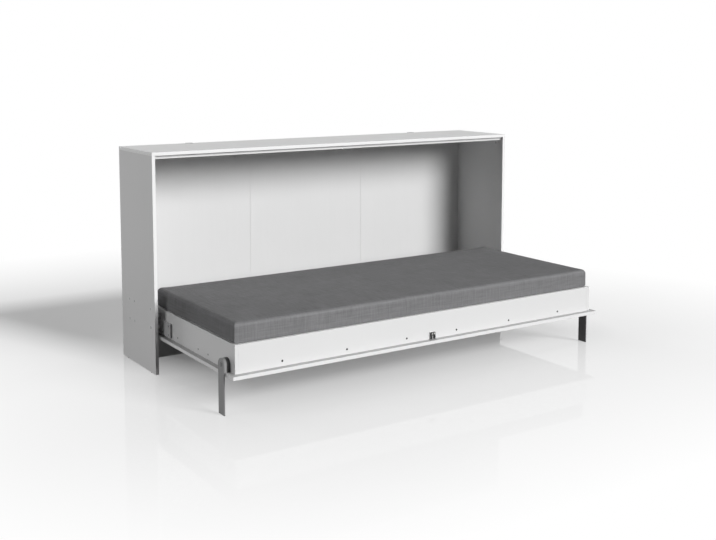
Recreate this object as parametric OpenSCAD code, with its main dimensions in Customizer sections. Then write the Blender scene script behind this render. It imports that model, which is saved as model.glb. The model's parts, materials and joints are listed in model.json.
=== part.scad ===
// Wall bed that folds down sideways from a low cabinet, drawn with the bed down.
// X runs along the cabinet, Y runs back to the wall and Z is up from the floor.

/* [Mattress] */
// Length of the mattress
mattress_l = 2000; // [1800:10:2200]
// Width of the mattress
mattress_w = 800; // [700:10:900]
// Thickness of the mattress at its upper edge
mattress_t = 150; // [120:5:170]
// Rise of the mattress from its upper edge to its middle
mattress_crown = 6; // [1:1:10]
// How far the mattress swells out over the frame boards
mattress_swell = 13; // [6:1:14]
// Radius of the mattress along its upper edge
mattress_edge_r = 22; // [10:1:30]
// Radius of the mattress at its upright corners
mattress_corner_r = 20; // [12:1:60]
// How far the mattress's sides draw in midway between the corners
mattress_draw = 3; // [0:1:6]
// How far the mattress's lower edge is drawn in
mattress_foot_in = 8; // [4:1:14]
// Height of the mattress's drawn-in lower edge
mattress_foot_h = 20; // [12:1:30]
// Height over which the mattress swells out above the frame boards
mattress_lip_h = 6; // [3:1:12]
// Gap between the mattress and the boards around it
mattress_gap = 4; // [2:1:8]

/* [Boards] */
// Thickness of the cabinet and bed boards
board_t = 16; // [15:1:19]
// Thickness of the back panels
back_t = 3; // [3:0.5:5]
// Depth of the groove that holds the back panels
back_groove = 8; // [5:1:10]
// Depth of the open recess behind the back panels
back_recess = 16; // [12:1:24]
// Width of the flanges on the strips that join the back panels
strip_w = 12; // [10:1:20]
// Wall of the strips that join the back panels
strip_t = 0.8; // [0.6:0.1:1.2]

/* [Cabinet] */
// Depth of the cabinet
cabinet_d = 420; // [400:5:520]
// Depth of the stop rail under the top panel
stop_rail_d = 70; // [60:5:120]
// Height of the cross board behind the bed
cross_board_h = 160; // [100:5:160]
// Height of the rail along the foot of the back
rear_rail_h = 60; // [40:5:90]
// Height of the back panels' lower edge above the glides
back_foot_up = 5; // [2:1:12]
// Height of the floor glides
glide_t = 3; // [2:0.5:6]
// Radius of the floor glides
glide_r = 7; // [5:0.5:7]

/* [Bed box] */
// Height of the rails and end boards around the mattress
frame_h = 124; // [100:2:140]
// How far the bed box reaches behind the cabinet's front
frame_tail = 111; // [90:1:120]
// How far the base panel stands out in front of the front rail
panel_lip = 30; // [20:1:45]
// Gap between the end boards and the cabinet's sides
side_gap = 34; // [33:1:45]
// Gap between the base panel and the cabinet's sides
panel_gap = 10; // [10:1:14]
// Height of the base panel above the floor with the bed down
under_clear = 168; // [150:2:220]
// Gap between the closed base panel and the top panel
top_reveal = 4; // [3:1:10]
// Least gap between the turning base panel and the floor
toe_clear = 3.5; // [3:0.5:10]
// Gap between the base panel's rear edge and the cross board
tail_gap = 5; // [3:1:12]

/* [Slats] */
// Number of slats
slat_count = 14; // [8:1:18]
// Width of a slat
slat_w = 60; // [40:5:80]
// Thickness of a slat
slat_t = 18; // [12:1:22]
// Gap between a slat's ends and the rails
slat_gap = 3; // [2:1:6]
// Height of the battens and of the centre beam
batten_h = 44; // [38:1:50]
// Width of the battens and of the centre beam
batten_w = 24; // [20:1:30]
// Width of the tapes that space the slats
tape_w = 30; // [20:5:40]
// Thickness of the tapes
tape_t = 1; // [0.5:0.1:1.5]
// Distance of the tapes from the bed's long centre line
tape_off = 330; // [250:5:340]

/* [Hinge] */
// Height of the hinge axis above the base panel's underside
pivot_rise = 53; // [50:1:58]
// Radius of the hinge pin where the bed turns on it
pin_r = 8; // [6:0.5:9]
// Radius of the hinge pin's shank through the cabinet's side
pin_shank_r = 5; // [4:0.5:5.5]
// Radius of the hinge pin's head
pin_head_r = 8; // [7:0.5:9]
// Thickness of the hinge plates
plate_t = 3; // [2:0.5:4]
// Height of the hinge plates
plate_h = 142; // [136:1:160]
// Height of the hinge axis above the plate's lower edge
plate_low = 33; // [26:1:36]
// Distance of the hinge axis behind the plate's front edge
plate_front = 21; // [16:1:30]
// Distances of the plate's rear bolts behind the hinge axis
bolt_back = [202, 266]; // [180:1:300]
// Height of the upper bolts above the hinge axis
bolt_up = 87; // [80:1:90]
// Depth of the lower bolts below the hinge axis
bolt_down = 11; // [5:1:14]
// Radius of the plate bolts
bolt_r = 3; // [2.5:0.5:4]
// Radius of the plate bolts' heads
bolt_head_r = 6; // [5.5:0.5:8]
// Thickness of the bolt heads, sunk flush in the cabinet's side
bolt_head_t = 3; // [2:0.5:4]
// How far the bolts stand out of the hinge plate
bolt_tail = 2; // [1:0.5:3]
// Radius of the hinge plate's corners
plate_corner_r = 10; // [4:1:14]
// Outer radius of the spacer sleeve on the hinge pin
spacer_r = 13; // [11:0.5:16]
// Gap between the spacer sleeve and the parts beside it
spacer_gap = 0.3; // [0.2:0.1:0.6]
// Outer radius of the retaining ring on the hinge pin
ring_r = 11; // [10:0.5:12]
// Thickness of the retaining ring
ring_t = 1.5; // [1:0.1:2]

/* [Bed bracket] */
// Depth of the hinge bracket from the end board
bracket_d = 9; // [8:0.5:11]
// Sheet thickness of the hinge bracket
bracket_t = 3; // [2:0.5:4]
// Height of the hinge bracket
bracket_h = 67; // [60:1:72]
// Depth of the bracket's lower edge below the hinge axis
bracket_low = 30; // [26:1:34]
// Length of the bracket in front of the hinge axis
bracket_front = 134; // [110:1:160]
// Length of the bracket behind the hinge axis
bracket_back = 52; // [45:1:55]
// Distance of the bracket's screws from its upper and lower flange
bracket_screw_in = 10; // [8:1:14]
// Distance of the bracket's first screws from its front end
bracket_screw_front = 18; // [14:1:30]
// Distance of the bracket's middle screw in front of the hinge axis
bracket_screw_mid = 45; // [42:1:60]
// Distance of the bracket's last screw from its back end
bracket_screw_back = 12; // [10:1:14]
// Width of the bracket's raised tab
tab_w = 40; // [36:1:48]
// Height of the tab above the spring pin
tab_over = 13; // [13:1:18]
// Radius of the tab's corners
tab_corner_r = 12; // [8:1:16]

/* [Springs] */
// Height of the spring pin above the hinge axis
spring_arm = 50; // [48:1:56]
// Distance of the spring anchor behind the hinge axis
anchor_back = 252; // [235:1:270]
// Height of the spring anchor above the hinge axis
anchor_up = 29; // [20:1:40]
// Radius of the spring pins and anchors
hook_pin_r = 5; // [4:0.5:6]
// Radius of the collars beside the spring yokes
hook_collar_r = 8; // [7:0.5:9]
// Outer radius of the springs
spring_r = 9; // [7:0.5:9.5]
// Radius of the wire where a spring hooks on
spring_wire_r = 1.6; // [1:0.1:2]
// Distance of each spring from the centre of its yoke
spring_off = 11.5; // [10:0.5:14]
// Length of each spring's hooked end
spring_end = 16; // [10:1:20]
// Thickness of the spring yokes
yoke_t = 4; // [3:0.5:5]
// Height of the spring yokes
yoke_h = 48; // [42:1:54]
// Radius of the yokes' corners
yoke_corner_r = 6; // [3:1:8]
// Reach of a yoke from its pin towards the springs
yoke_reach = 14; // [12:1:18]
// Reach of a yoke from its pin away from the springs
yoke_tail = 10; // [8:1:12]

/* [Legs] */
// Width of a leg
leg_w = 54; // [44:1:56]
// Thickness of a leg
leg_t = 5; // [4:0.5:6]
// Distance of the leg's pin behind the front rail's face
leg_back = 70; // [50:1:120]
// Radius of the leg's pin
leg_pin_r = 6; // [4:0.5:8]
// Radius of the leg pin's head
leg_head_r = 10; // [8:0.5:12]
// Thickness of the leg pin's head
leg_head_t = 1; // [0.6:0.1:1.2]
// Length of the leg pin inside its block
leg_pin_in = 18; // [12:1:22]
// Gap between the base panel's edge and the leg
leg_gap = 2; // [1:0.5:2.5]
// Height of the leg's pin above the base panel
leg_pin_up = 31; // [30:1:40]
// Distance of the block's screws from the leg's pin
leg_screw_off = 15; // [13:1:17]
// Height of the block's screws above the base panel
leg_screw_up = 10; // [8:1:12]

/* [Catch] */
// Width of each catch arm
arm_w = 10; // [8:0.5:12]
// Height of each catch arm
arm_h = 33; // [28:1:36]
// Depth of each catch arm
arm_d = 11; // [10:0.5:12]
// Distance between the centre lines of the two catch arms
arm_pitch = 17.5; // [16:0.5:20]
// Thickness of the catch's base
catch_base_t = 3; // [2:0.5:4]
// Rim of the catch's base around its arms
catch_base_rim = 2; // [1.5:0.5:4]
// Radius of the corners of the catch's base
catch_base_r = 4; // [2:0.5:6]
// Heights of the catch's screws above the foot of its arms
catch_screw_up = [18, 29]; // [14:1:30]
// Radius of the catch rollers
roller_r = 4; // [3:0.25:4.25]
// Length of the catch rollers
roller_l = 6.5; // [5:0.5:7]
// How far the rollers stand out of their arms
roller_out = 1.5; // [1:0.25:2]
// Distance of the rollers below the top of their arms
roller_down = 7; // [6:0.5:9]
// Radius of the pins that the catch arms turn on
arm_pin_r = 1.5; // [1:0.25:2]
// Width of the strike's head
strike_head_w = 6.4; // [5:0.2:7]
// Width of the strike's neck
strike_neck_w = 3; // [2:0.2:3.8]
// Thickness of the strike's tongue
strike_tongue_t = 3; // [2:0.25:3]
// Length of the strike's pointed head
strike_head_l = 3; // [2:0.25:4]
// Reach of the strike's tongue past the closed catch's rollers
strike_tip = 7; // [6:0.5:9]
// Thickness of the strike's post
strike_post_t = 4; // [3:0.5:5]
// Gap between the closed catch arms and the strike's post
strike_room = 4; // [3:0.5:6]
// Width of the strike's base
strike_base_w = 32; // [30:1:40]
// Depth of the strike's base
strike_base_d = 20; // [20:1:26]
// Distance of the strike's screws from its middle
strike_screw_off = 10; // [9:0.5:11]
// Thickness of the strike's base
strike_base_t = 1.5; // [1:0.25:2]
// Gap between the strike's tongue and its base
strike_drop = 3; // [2:0.25:3.5]

/* [Screws] */
// Radius of a wood screw's shank
screw_r = 2; // [1.5:0.25:2.5]
// Radius of a wood screw's head
screw_head_r = 3.8; // [3:0.1:4.5]
// Thickness of a wood screw's head
screw_head_t = 2; // [1.5:0.1:2.2]
// Distance of the first rail screws from the middle
rail_screw_first = 145; // [120:5:200]
// Spacing of the rail screws
rail_screw_pitch = 326; // [280:2:350]
// Height of the rail and end board screws above the base panel
frame_screw_up = 23; // [18:1:26]
// Distances of the end board screws behind the front rail's face
end_screw_back = [260, 361, 583]; // [150:1:600]
// Spacing of the screws that hold the battens down
batten_screw_pitch = 300; // [260:5:310]
// Distance between the stop rail's screws
stop_screw_pitch = 360; // [300:10:380]
// Distance of the stop rail's screws from its front edge
stop_screw_in = 12; // [8:1:20]
// How far a screw reaches past the frame board that it holds
frame_screw_bite = 20; // [12:1:30]
// How far the batten screws stop short of the base panel's underside
batten_screw_short = 6; // [3:1:8]
// How far the stop rail's screws reach into the top panel
stop_screw_bite = 10; // [8:1:13]
// Length of the strike's screws
strike_screw_l = 14; // [10:1:16]
// Length of the wall brackets' screws
wall_screw_l = 14; // [10:1:16]
// Length of the catch's screws
catch_screw_l = 15; // [10:1:17]
// How far the fittings' screws reach into the end boards
fitting_screw_bite = 12; // [8:1:13]

/* [Joining] */
// Radius of the cam discs in the cabinet's sides
cam_r = 7.5; // [6:0.5:10]
// Depth of the cam discs
cam_t = 12; // [10:0.5:12.5]
// Distance of the cam discs below the top panel
cam_down = 34; // [24:1:34]
// Radius of the cam bolts
cam_bolt_r = 3; // [2:0.5:3.5]
// Distance of the cam bolts from the cabinet's front and back
cam_inset = 60; // [50:5:90]
// Depth of cam bolts and dowels in the board that they end in
dowel_bite = 11; // [8:0.5:12]
// Radius of the dowels
dowel_r = 4; // [3:0.5:4.5]
// Length of the dowels
dowel_l = 32; // [28:1:40]
// Distance from a cam bolt to the dowel beside it
dowel_off = 45; // [35:1:60]

/* [Wall brackets] */
// Distance between the two wall brackets
wall_pitch = 1400; // [1000:10:1600]
// Width of a wall bracket
wall_bracket_w = 32; // [24:1:50]
// Thickness of a wall bracket
wall_bracket_t = 2.2; // [2:0.1:3]
// Length of the bracket's flat on the top panel
wall_bracket_flat = 25; // [20:1:40]
// Length of the bracket's drop behind the top panel
wall_bracket_drop = 52; // [45:1:80]
// Radius of the wall fixing hole
wall_hole_r = 3.25; // [2.5:0.25:4]
// Distance of the wall fixing hole from the bracket's lower end
wall_hole_up = 13; // [9:1:16]

/* [Fits] */
// Radial play of a turning fit
run_fit = 0.05; // [0.02:0.01:0.1]
// Radial play of screws, bolts and dowels in their holes
hole_fit = 0.1; // [0.05:0.05:0.3]
// Play of a panel in its groove, on each side
panel_fit = 0.15; // [0.1:0.05:0.3]
// Gap that keeps the mattress clear of what it lies on
soft_gap = 0.3; // [0.2:0.1:0.6]

/* [Hidden] */
$fn = 48;
side_count = 8;
corner_count = 5;
edge_steps = 4;
crown_steps = 4;
eps = 0.5;

// Lengths along the cabinet, measured from its middle
frame_in_x = mattress_l / 2 + mattress_gap;
frame_x = frame_in_x + board_t;
cabinet_in_x = frame_x + side_gap;
cabinet_x = cabinet_in_x + board_t;
panel_x = cabinet_in_x - panel_gap;

// Depths, measured back from the cabinet's front
frame_d = mattress_w + 2 * (mattress_gap + board_t);
frame_back_y = frame_tail;
frame_front_y = frame_back_y - frame_d;
panel_front_y = frame_front_y - panel_lip;
mattress_y = (frame_back_y + frame_front_y) / 2;
pivot_y = pivot_rise;
pivot_z = under_clear + pivot_rise;
toe_radius = pivot_z - toe_clear;
panel_back_y = pivot_y + sqrt(toe_radius * toe_radius - pivot_rise * pivot_rise);
cross_y = panel_back_y + tail_gap;
back_y = cabinet_d - back_recess - back_t;
rear_rail_y = back_y - 1;
stop_rail_y = board_t + 1;

// Heights above the floor
base_z = under_clear + board_t;
frame_top_z = base_z + frame_h;
slat_z = base_z + batten_h;
slat_top_z = slat_z + slat_t;
mattress_z = slat_top_z + tape_t + soft_gap;
mattress_top_z = mattress_z + mattress_t;
inside_z = pivot_z + pivot_y - panel_front_y + top_reveal;
top_z = inside_z + board_t;
stop_rail_z = inside_z - board_t;
cam_z = inside_z - cam_down;
frame_screw_z = base_z + frame_screw_up;

// Depth of the cabinet's front behind the middle of the whole object
front_y = (-panel_front_y - cabinet_d) / 2;

// Hinge and springs
plate_x = cabinet_in_x - plate_t;
bracket_x = frame_x + bracket_d;
plate_y0 = pivot_y - plate_front;
plate_y1 = pivot_y + bolt_back[1] + plate_front;
plate_z0 = pivot_z - plate_low;
spring_x = (bracket_x + plate_x) / 2;
anchor_y = pivot_y + anchor_back;
anchor_z = pivot_z + anchor_up;
hook_y = pivot_y;
hook_z = pivot_z + spring_arm;
spring_len = norm([anchor_y - hook_y, anchor_z - hook_z]);
spring_tilt = atan2(hook_z - anchor_z, anchor_y - hook_y);
hook_tail = yoke_t / 2 + 4;

// Legs
leg_x = panel_x + leg_gap;
leg_y = frame_front_y + leg_back;
leg_z = base_z + leg_pin_up;
leg_block_x = leg_x - soft_gap;

// Catch, with the strike at its place over the closed bed
arm_y0 = frame_front_y - catch_base_t - soft_gap;
arm_y1 = arm_y0 - arm_d;
arm_z0 = base_z + 1;
arm_z1 = arm_z0 + arm_h;
arm_pin_z = arm_z0 + arm_w / 2;
roller_x = arm_pitch / 2 - arm_w / 2 - roller_out + roller_r;
roller_y = (arm_y0 + arm_y1) / 2;
roller_z = arm_z1 - roller_down;
strike_roller_y = pivot_y + roller_z - pivot_z;
strike_tongue_z = stop_rail_z - strike_base_t - strike_drop;
strike_post_y = strike_roller_y + roller_down + strike_room;

// Screw lengths
frame_screw_l = board_t + frame_screw_bite;
batten_screw_l = batten_h + board_t - batten_screw_short;
stop_screw_l = board_t + stop_screw_bite;

// Placing: the model is drawn from the cabinet's front, and stands centred on its footprint

module placed() {
    translate([0, front_y, 0]) children();
}

module right_side() {
    placed() children();
}

module left_side() {
    placed() mirror([1, 0, 0]) children();
}

module both_sides() {
    right_side() children();
    left_side() children();
}

// Shapes shared by several pieces

module slab(low, high) {
    translate(low) cube(high - low);
}

module rounded_outline(low, high, r) {
    translate([low[0] + r, low[1]]) square([high[0] - low[0] - 2 * r, high[1] - low[1]]);
    translate([low[0], low[1] + r]) square([high[0] - low[0], high[1] - low[1] - 2 * r]);
    for (x = [low[0] + r, high[0] - r])
        for (y = [low[1] + r, high[1] - r])
            translate([x, y]) circle(r);
}

// An outline in depth and height, drawn out along the cabinet from x0 to x1
module side_profile(x0, x1) {
    translate([x0, 0, 0]) rotate([90, 0, 90]) linear_extrude(x1 - x0) children();
}

// An outline in length and height, drawn out in depth from y1 to y0
module front_profile(y0, y1) {
    translate([0, y0, 0]) rotate([90, 0, 0]) linear_extrude(y0 - y1) children();
}

module rod_x(r, x0, x1, y, z) {
    translate([x0, y, z]) rotate([0, 90, 0]) cylinder(r = r, h = x1 - x0);
}

module rod_y(r, y0, y1, x, z) {
    translate([x, y0, z]) rotate([-90, 0, 0]) cylinder(r = r, h = y1 - y0);
}

module rod_z(r, z0, z1, x, y) {
    translate([x, y, z0]) cylinder(r = r, h = z1 - z0);
}

// A screw that points down, with the flat of its head at the origin
module screw(l) {
    difference() {
        union() {
            translate([0, 0, -screw_head_t]) cylinder(r = screw_head_r, h = screw_head_t);
            translate([0, 0, -l]) cylinder(r = screw_r, h = l);
        }
        translate([0, 0, -screw_head_t * 0.6]) cylinder(r = screw_head_r * 0.5, h = screw_head_t, $fn = 6);
    }
}

// The room that such a screw takes in the boards
module screw_room(l) {
    translate([0, 0, -screw_head_t]) cylinder(r = screw_head_r + hole_fit, h = screw_head_t + eps);
    translate([0, 0, -l]) cylinder(r = screw_r + hole_fit, h = l);
}

module facing_front() {
    rotate([90, 0, 0]) children();
}

module facing_back() {
    rotate([-90, 0, 0]) children();
}

module facing_out() {
    rotate([0, 90, 0]) children();
}

module facing_down() {
    rotate([180, 0, 0]) children();
}

// Places of the fasteners

module at_plate_bolts() {
    for (p = [[0, bolt_up], [bolt_back[0], bolt_up], [bolt_back[1], bolt_up],
              [bolt_back[0], -bolt_down], [bolt_back[1], -bolt_down]])
        translate([0, pivot_y + p[0], pivot_z + p[1]]) children();
}

module at_rail_screws() {
    for (i = [0:2])
        for (s = [-1, 1])
            translate([s * (rail_screw_first + i * rail_screw_pitch), 0, frame_screw_z]) children();
}

module at_front_rail_screws() {
    translate([0, frame_front_y, 0]) at_rail_screws() facing_front() children();
}

module at_rear_rail_screws() {
    translate([0, frame_back_y, 0]) at_rail_screws() facing_back() children();
}

module at_end_screws() {
    for (d = end_screw_back)
        translate([frame_x, frame_front_y + d, frame_screw_z]) facing_out() children();
}

module at_batten_screws() {
    for (i = [-3:3])
        translate([i * batten_screw_pitch, 0, slat_z]) children();
}

module at_front_batten_screws() {
    translate([0, frame_front_y + board_t + batten_w / 2, 0]) at_batten_screws() children();
}

module at_rear_batten_screws() {
    translate([0, frame_back_y - board_t - batten_w / 2, 0]) at_batten_screws() children();
}

module at_bracket_screws() {
    low = bracket_t + bracket_screw_in - bracket_low;
    high = bracket_h - bracket_low - bracket_t - bracket_screw_in;
    first = bracket_screw_front - bracket_front;
    last = bracket_back - bracket_screw_back;
    for (p = [[first, low], [first, high], [-bracket_screw_mid, low], [last, low]])
        translate([bracket_x + screw_head_t, pivot_y + p[0], pivot_z + p[1]]) facing_out() children();
}

module at_leg_screws() {
    for (s = [-1, 1])
        translate([leg_block_x, leg_y + s * leg_screw_off, base_z + leg_screw_up]) facing_out() children();
}

module at_catch_screws() {
    for (up = catch_screw_up)
        translate([0, frame_front_y - catch_base_t, arm_z0 + up]) facing_front() children();
}

module at_stop_rail_screws() {
    for (i = [-2.5:2.5])
        translate([i * stop_screw_pitch, stop_rail_y + stop_screw_in, stop_rail_z]) facing_down() children();
}

module at_strike_screws() {
    y = strike_post_y + strike_post_t + strike_base_d / 2;
    for (s = [-1, 1])
        translate([s * strike_screw_off, y, stop_rail_z - strike_base_t])
            facing_down() children();
}

module at_wall_brackets() {
    for (s = [-1, 1])
        translate([s * wall_pitch / 2, cabinet_d, top_z]) children();
}

module at_wall_screws() {
    at_wall_brackets() for (s = [-1, 1])
        translate([s * wall_bracket_w / 4, -wall_bracket_flat * 0.55, wall_bracket_t]) children();
}

module at_cams() {
    for (y = [cam_inset, cabinet_d - cam_inset])
        translate([cabinet_in_x + board_t / 2, y, 0]) children();
}

module at_top_dowels() {
    for (y = [cam_inset + dowel_off, cabinet_d - cam_inset - dowel_off])
        translate([cabinet_in_x + board_t / 2, y, inside_z + dowel_bite]) children();
}

module at_board_dowels() {
    for (z = [0.3, 0.75])
        translate([cabinet_in_x + dowel_bite, cross_y + board_t / 2, glide_t + z * cross_board_h])
            rotate([0, 90, 0]) children();
    for (z = [0.3, 0.75])
        translate([cabinet_in_x + dowel_bite, rear_rail_y - board_t / 2, glide_t + z * rear_rail_h])
            rotate([0, 90, 0]) children();
}

module dowel(play = 0) {
    translate([0, 0, -dowel_l]) cylinder(r = dowel_r + play, h = dowel_l + play);
}

// Room in the long boards for the dowels at both ends
module board_dowel_room() {
    at_board_dowels() dowel(hole_fit);
    mirror([1, 0, 0]) at_board_dowels() dowel(hole_fit);
}

// Cabinet

module side_panel() {
    difference() {
        slab([cabinet_in_x, 0, glide_t], [cabinet_x, cabinet_d, inside_z]);
        slab([cabinet_in_x - eps, back_y - panel_fit, -eps],
             [cabinet_in_x + back_groove, back_y + back_t + panel_fit, inside_z + eps]);
        rod_x(pin_shank_r + hole_fit, cabinet_in_x - eps, cabinet_x + eps, pivot_y, pivot_z);
        rod_x(pin_head_r + hole_fit, cabinet_x - bolt_head_t, cabinet_x + eps, pivot_y, pivot_z);
        at_plate_bolts() {
            rod_x(bolt_r + hole_fit, cabinet_in_x - eps, cabinet_x + eps, 0, 0);
        }
        at_plate_bolts() {
            rod_x(bolt_head_r + hole_fit, cabinet_x - bolt_head_t, cabinet_x + eps, 0, 0);
        }
        at_cams() translate([-board_t / 2 - eps, 0, cam_z]) rotate([0, 90, 0])
            cylinder(r = cam_r + hole_fit, h = cam_t + hole_fit + eps);
        at_cams() rod_z(cam_bolt_r + hole_fit, cam_z, inside_z + eps, 0, 0);
        at_top_dowels() dowel(hole_fit);
        at_board_dowels() dowel(hole_fit);
    }
}

module side_panel_left() {
    color("gainsboro") left_side() side_panel();
}

module side_panel_right() {
    color("gainsboro") right_side() side_panel();
}

module top_panel() {
    color("whitesmoke") placed() difference() {
        slab([-cabinet_x, 0, inside_z], [cabinet_x, cabinet_d, top_z]);
        slab([-cabinet_in_x - back_groove, back_y - panel_fit, inside_z - eps],
             [cabinet_in_x + back_groove, back_y + back_t + panel_fit, inside_z + back_groove]);
        at_wall_brackets()
            slab([-wall_bracket_w / 2 - panel_fit, -wall_bracket_t - panel_fit, -board_t - eps],
                 [wall_bracket_w / 2 + panel_fit, eps, eps]);
        at_wall_screws() screw_room(wall_screw_l);
        at_stop_rail_screws() screw_room(stop_screw_l);
        for (side = [0, 1])
            mirror([side, 0, 0]) {
                at_cams() rod_z(cam_bolt_r + hole_fit, inside_z - eps, inside_z + dowel_bite + hole_fit, 0, 0);
                at_top_dowels() dowel(hole_fit);
            }
    }
}

module stop_rail() {
    color("white") placed() difference() {
        slab([-cabinet_in_x, stop_rail_y, stop_rail_z], [cabinet_in_x, stop_rail_y + stop_rail_d, inside_z]);
        at_stop_rail_screws() screw_room(stop_screw_l);
        at_strike_screws() screw_room(strike_screw_l);
    }
}

// The back is three panels of equal show, held in grooves and by two joining strips
strip_x = cabinet_in_x / 3;
back_edge = strip_t / 2 + panel_fit;
back_foot_z = glide_t + back_foot_up;
back_head_z = inside_z + back_groove - panel_fit;

module back_panel(x0, x1) {
    slab([x0, back_y, back_foot_z], [x1, back_y + back_t, back_head_z]);
}

module back_panel_left() {
    color("ghostwhite") placed()
        back_panel(-cabinet_in_x - back_groove + panel_fit, -strip_x - back_edge);
}

module back_panel_centre() {
    color("ghostwhite") placed() back_panel(-strip_x + back_edge, strip_x - back_edge);
}

module back_panel_right() {
    color("ghostwhite") placed()
        back_panel(strip_x + back_edge, cabinet_in_x + back_groove - panel_fit);
}

module back_joint_strips() {
    color("white") placed() for (s = [-1, 1])
        translate([s * strip_x, back_y + back_t / 2, back_foot_z])
            linear_extrude(inside_z - panel_fit - back_foot_z) {
                square([strip_t, back_t + 2 * panel_fit + strip_t], center = true);
                for (f = [-1, 1])
                    translate([0, f * (back_t / 2 + panel_fit + strip_t / 2)])
                        square([strip_w, strip_t], center = true);
            }
}

module lower_cross_board() {
    color("gainsboro") placed() difference() {
        slab([-cabinet_in_x, cross_y, glide_t], [cabinet_in_x, cross_y + board_t, glide_t + cross_board_h]);
        board_dowel_room();
    }
}

module lower_rear_rail() {
    color("gainsboro") placed() difference() {
        slab([-cabinet_in_x, rear_rail_y - board_t, glide_t], [cabinet_in_x, rear_rail_y, glide_t + rear_rail_h]);
        board_dowel_room();
    }
}

module cabinet_dowels() {
    color("burlywood") both_sides() {
        at_top_dowels() dowel();
        at_board_dowels() dowel();
    }
}

module cam_discs() {
    color("silver") both_sides() at_cams() translate([-board_t / 2, 0, cam_z]) rotate([0, 90, 0])
        difference() {
            cylinder(r = cam_r, h = cam_t);
            translate([0, 0, -eps]) linear_extrude(2) square([cam_r * 1.1, 1.6], center = true);
            translate([-cam_r - eps, 0, board_t / 2]) rotate([0, 90, 0])
                cylinder(r = cam_bolt_r + 0.6, h = cam_r + eps);
        }
}

module cam_bolts() {
    color("silver") both_sides() at_cams()
        rod_z(cam_bolt_r, cam_z + 3, inside_z + dowel_bite, 0, 0);
}

module cabinet_screws() {
    color("silver") placed() {
        at_stop_rail_screws() screw(stop_screw_l);
        at_strike_screws() screw(strike_screw_l);
        at_wall_screws() screw(wall_screw_l);
    }
}

module floor_glides() {
    color("darkgray") both_sides() {
        for (y = [cam_inset, cabinet_d - cam_inset])
            rod_z(glide_r, 0, glide_t, cabinet_in_x + board_t / 2, y);
        rod_z(glide_r, 0, glide_t, cabinet_in_x / 2, cross_y + board_t / 2);
        rod_z(glide_r, 0, glide_t, cabinet_in_x / 2, rear_rail_y - board_t / 2);
    }
}

module wall_brackets() {
    color("silver") placed() difference() {
        at_wall_brackets() union() {
            slab([-wall_bracket_w / 2, -wall_bracket_flat, 0], [wall_bracket_w / 2, 0, wall_bracket_t]);
            slab([-wall_bracket_w / 2, -wall_bracket_t, -wall_bracket_drop],
                 [wall_bracket_w / 2, 0, wall_bracket_t]);
        }
        at_wall_screws() screw_room(wall_screw_l);
        at_wall_brackets()
            rod_y(wall_hole_r, -wall_bracket_t - eps, eps, 0, wall_hole_up - wall_bracket_drop);
    }
}

// Hinge, on the cabinet's side

module hinge_plate() {
    difference() {
        side_profile(plate_x, cabinet_in_x)
            rounded_outline([plate_y0, plate_z0], [plate_y1, plate_z0 + plate_h], plate_corner_r);
        rod_x(pin_shank_r + hole_fit, plate_x - eps, cabinet_in_x + eps, pivot_y, pivot_z);
        rod_x(hook_pin_r - 1 + hole_fit, plate_x - eps, cabinet_in_x + eps, anchor_y, anchor_z);
        at_plate_bolts() rod_x(bolt_r + hole_fit, plate_x - eps, cabinet_in_x + eps, 0, 0);
    }
}

module hinge_plate_left() {
    color("silver") left_side() hinge_plate();
}

module hinge_plate_right() {
    color("silver") right_side() hinge_plate();
}

module plate_bolts() {
    color("gray") both_sides() at_plate_bolts() difference() {
        union() {
            rod_x(bolt_head_r, cabinet_x - bolt_head_t, cabinet_x, 0, 0);
            rod_x(bolt_r, plate_x - bolt_tail, cabinet_x - bolt_head_t, 0, 0);
        }
        rod_x(bolt_head_r * 0.45, cabinet_x - bolt_head_t * 0.6, cabinet_x + eps, 0, 0, $fn = 6);
    }
}

module hinge_pins() {
    color("gray") both_sides() translate([0, pivot_y, pivot_z]) difference() {
        union() {
            rod_x(pin_head_r, cabinet_x - bolt_head_t, cabinet_x, 0, 0);
            rod_x(pin_shank_r, plate_x, cabinet_x - bolt_head_t, 0, 0);
            rod_x(pin_r, frame_x + 1, plate_x, 0, 0);
        }
        rod_x(pin_head_r * 0.45, cabinet_x - bolt_head_t * 0.6, cabinet_x + eps, 0, 0, $fn = 6);
    }
}

module hinge_spacers() {
    color("whitesmoke") both_sides() difference() {
        rod_x(spacer_r, bracket_x + spacer_gap, plate_x - spacer_gap, pivot_y, pivot_z);
        rod_x(pin_r + run_fit, bracket_x, plate_x, pivot_y, pivot_z);
    }
}

module hinge_rings() {
    color("dimgray") both_sides() difference() {
        rod_x(ring_r, bracket_x - bracket_t - ring_t - spacer_gap, bracket_x - bracket_t - spacer_gap,
              pivot_y, pivot_z);
        rod_x(pin_r + run_fit, frame_x, bracket_x, pivot_y, pivot_z);
    }
}

module spring_anchors() {
    color("gray") both_sides() translate([0, anchor_y, anchor_z]) union() {
        rod_x(hook_pin_r - 1, plate_x, cabinet_in_x, 0, 0);
        rod_x(hook_collar_r, spring_x + yoke_t / 2 + spacer_gap, plate_x, 0, 0);
        rod_x(hook_pin_r, spring_x - hook_tail, plate_x, 0, 0);
    }
}

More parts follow.
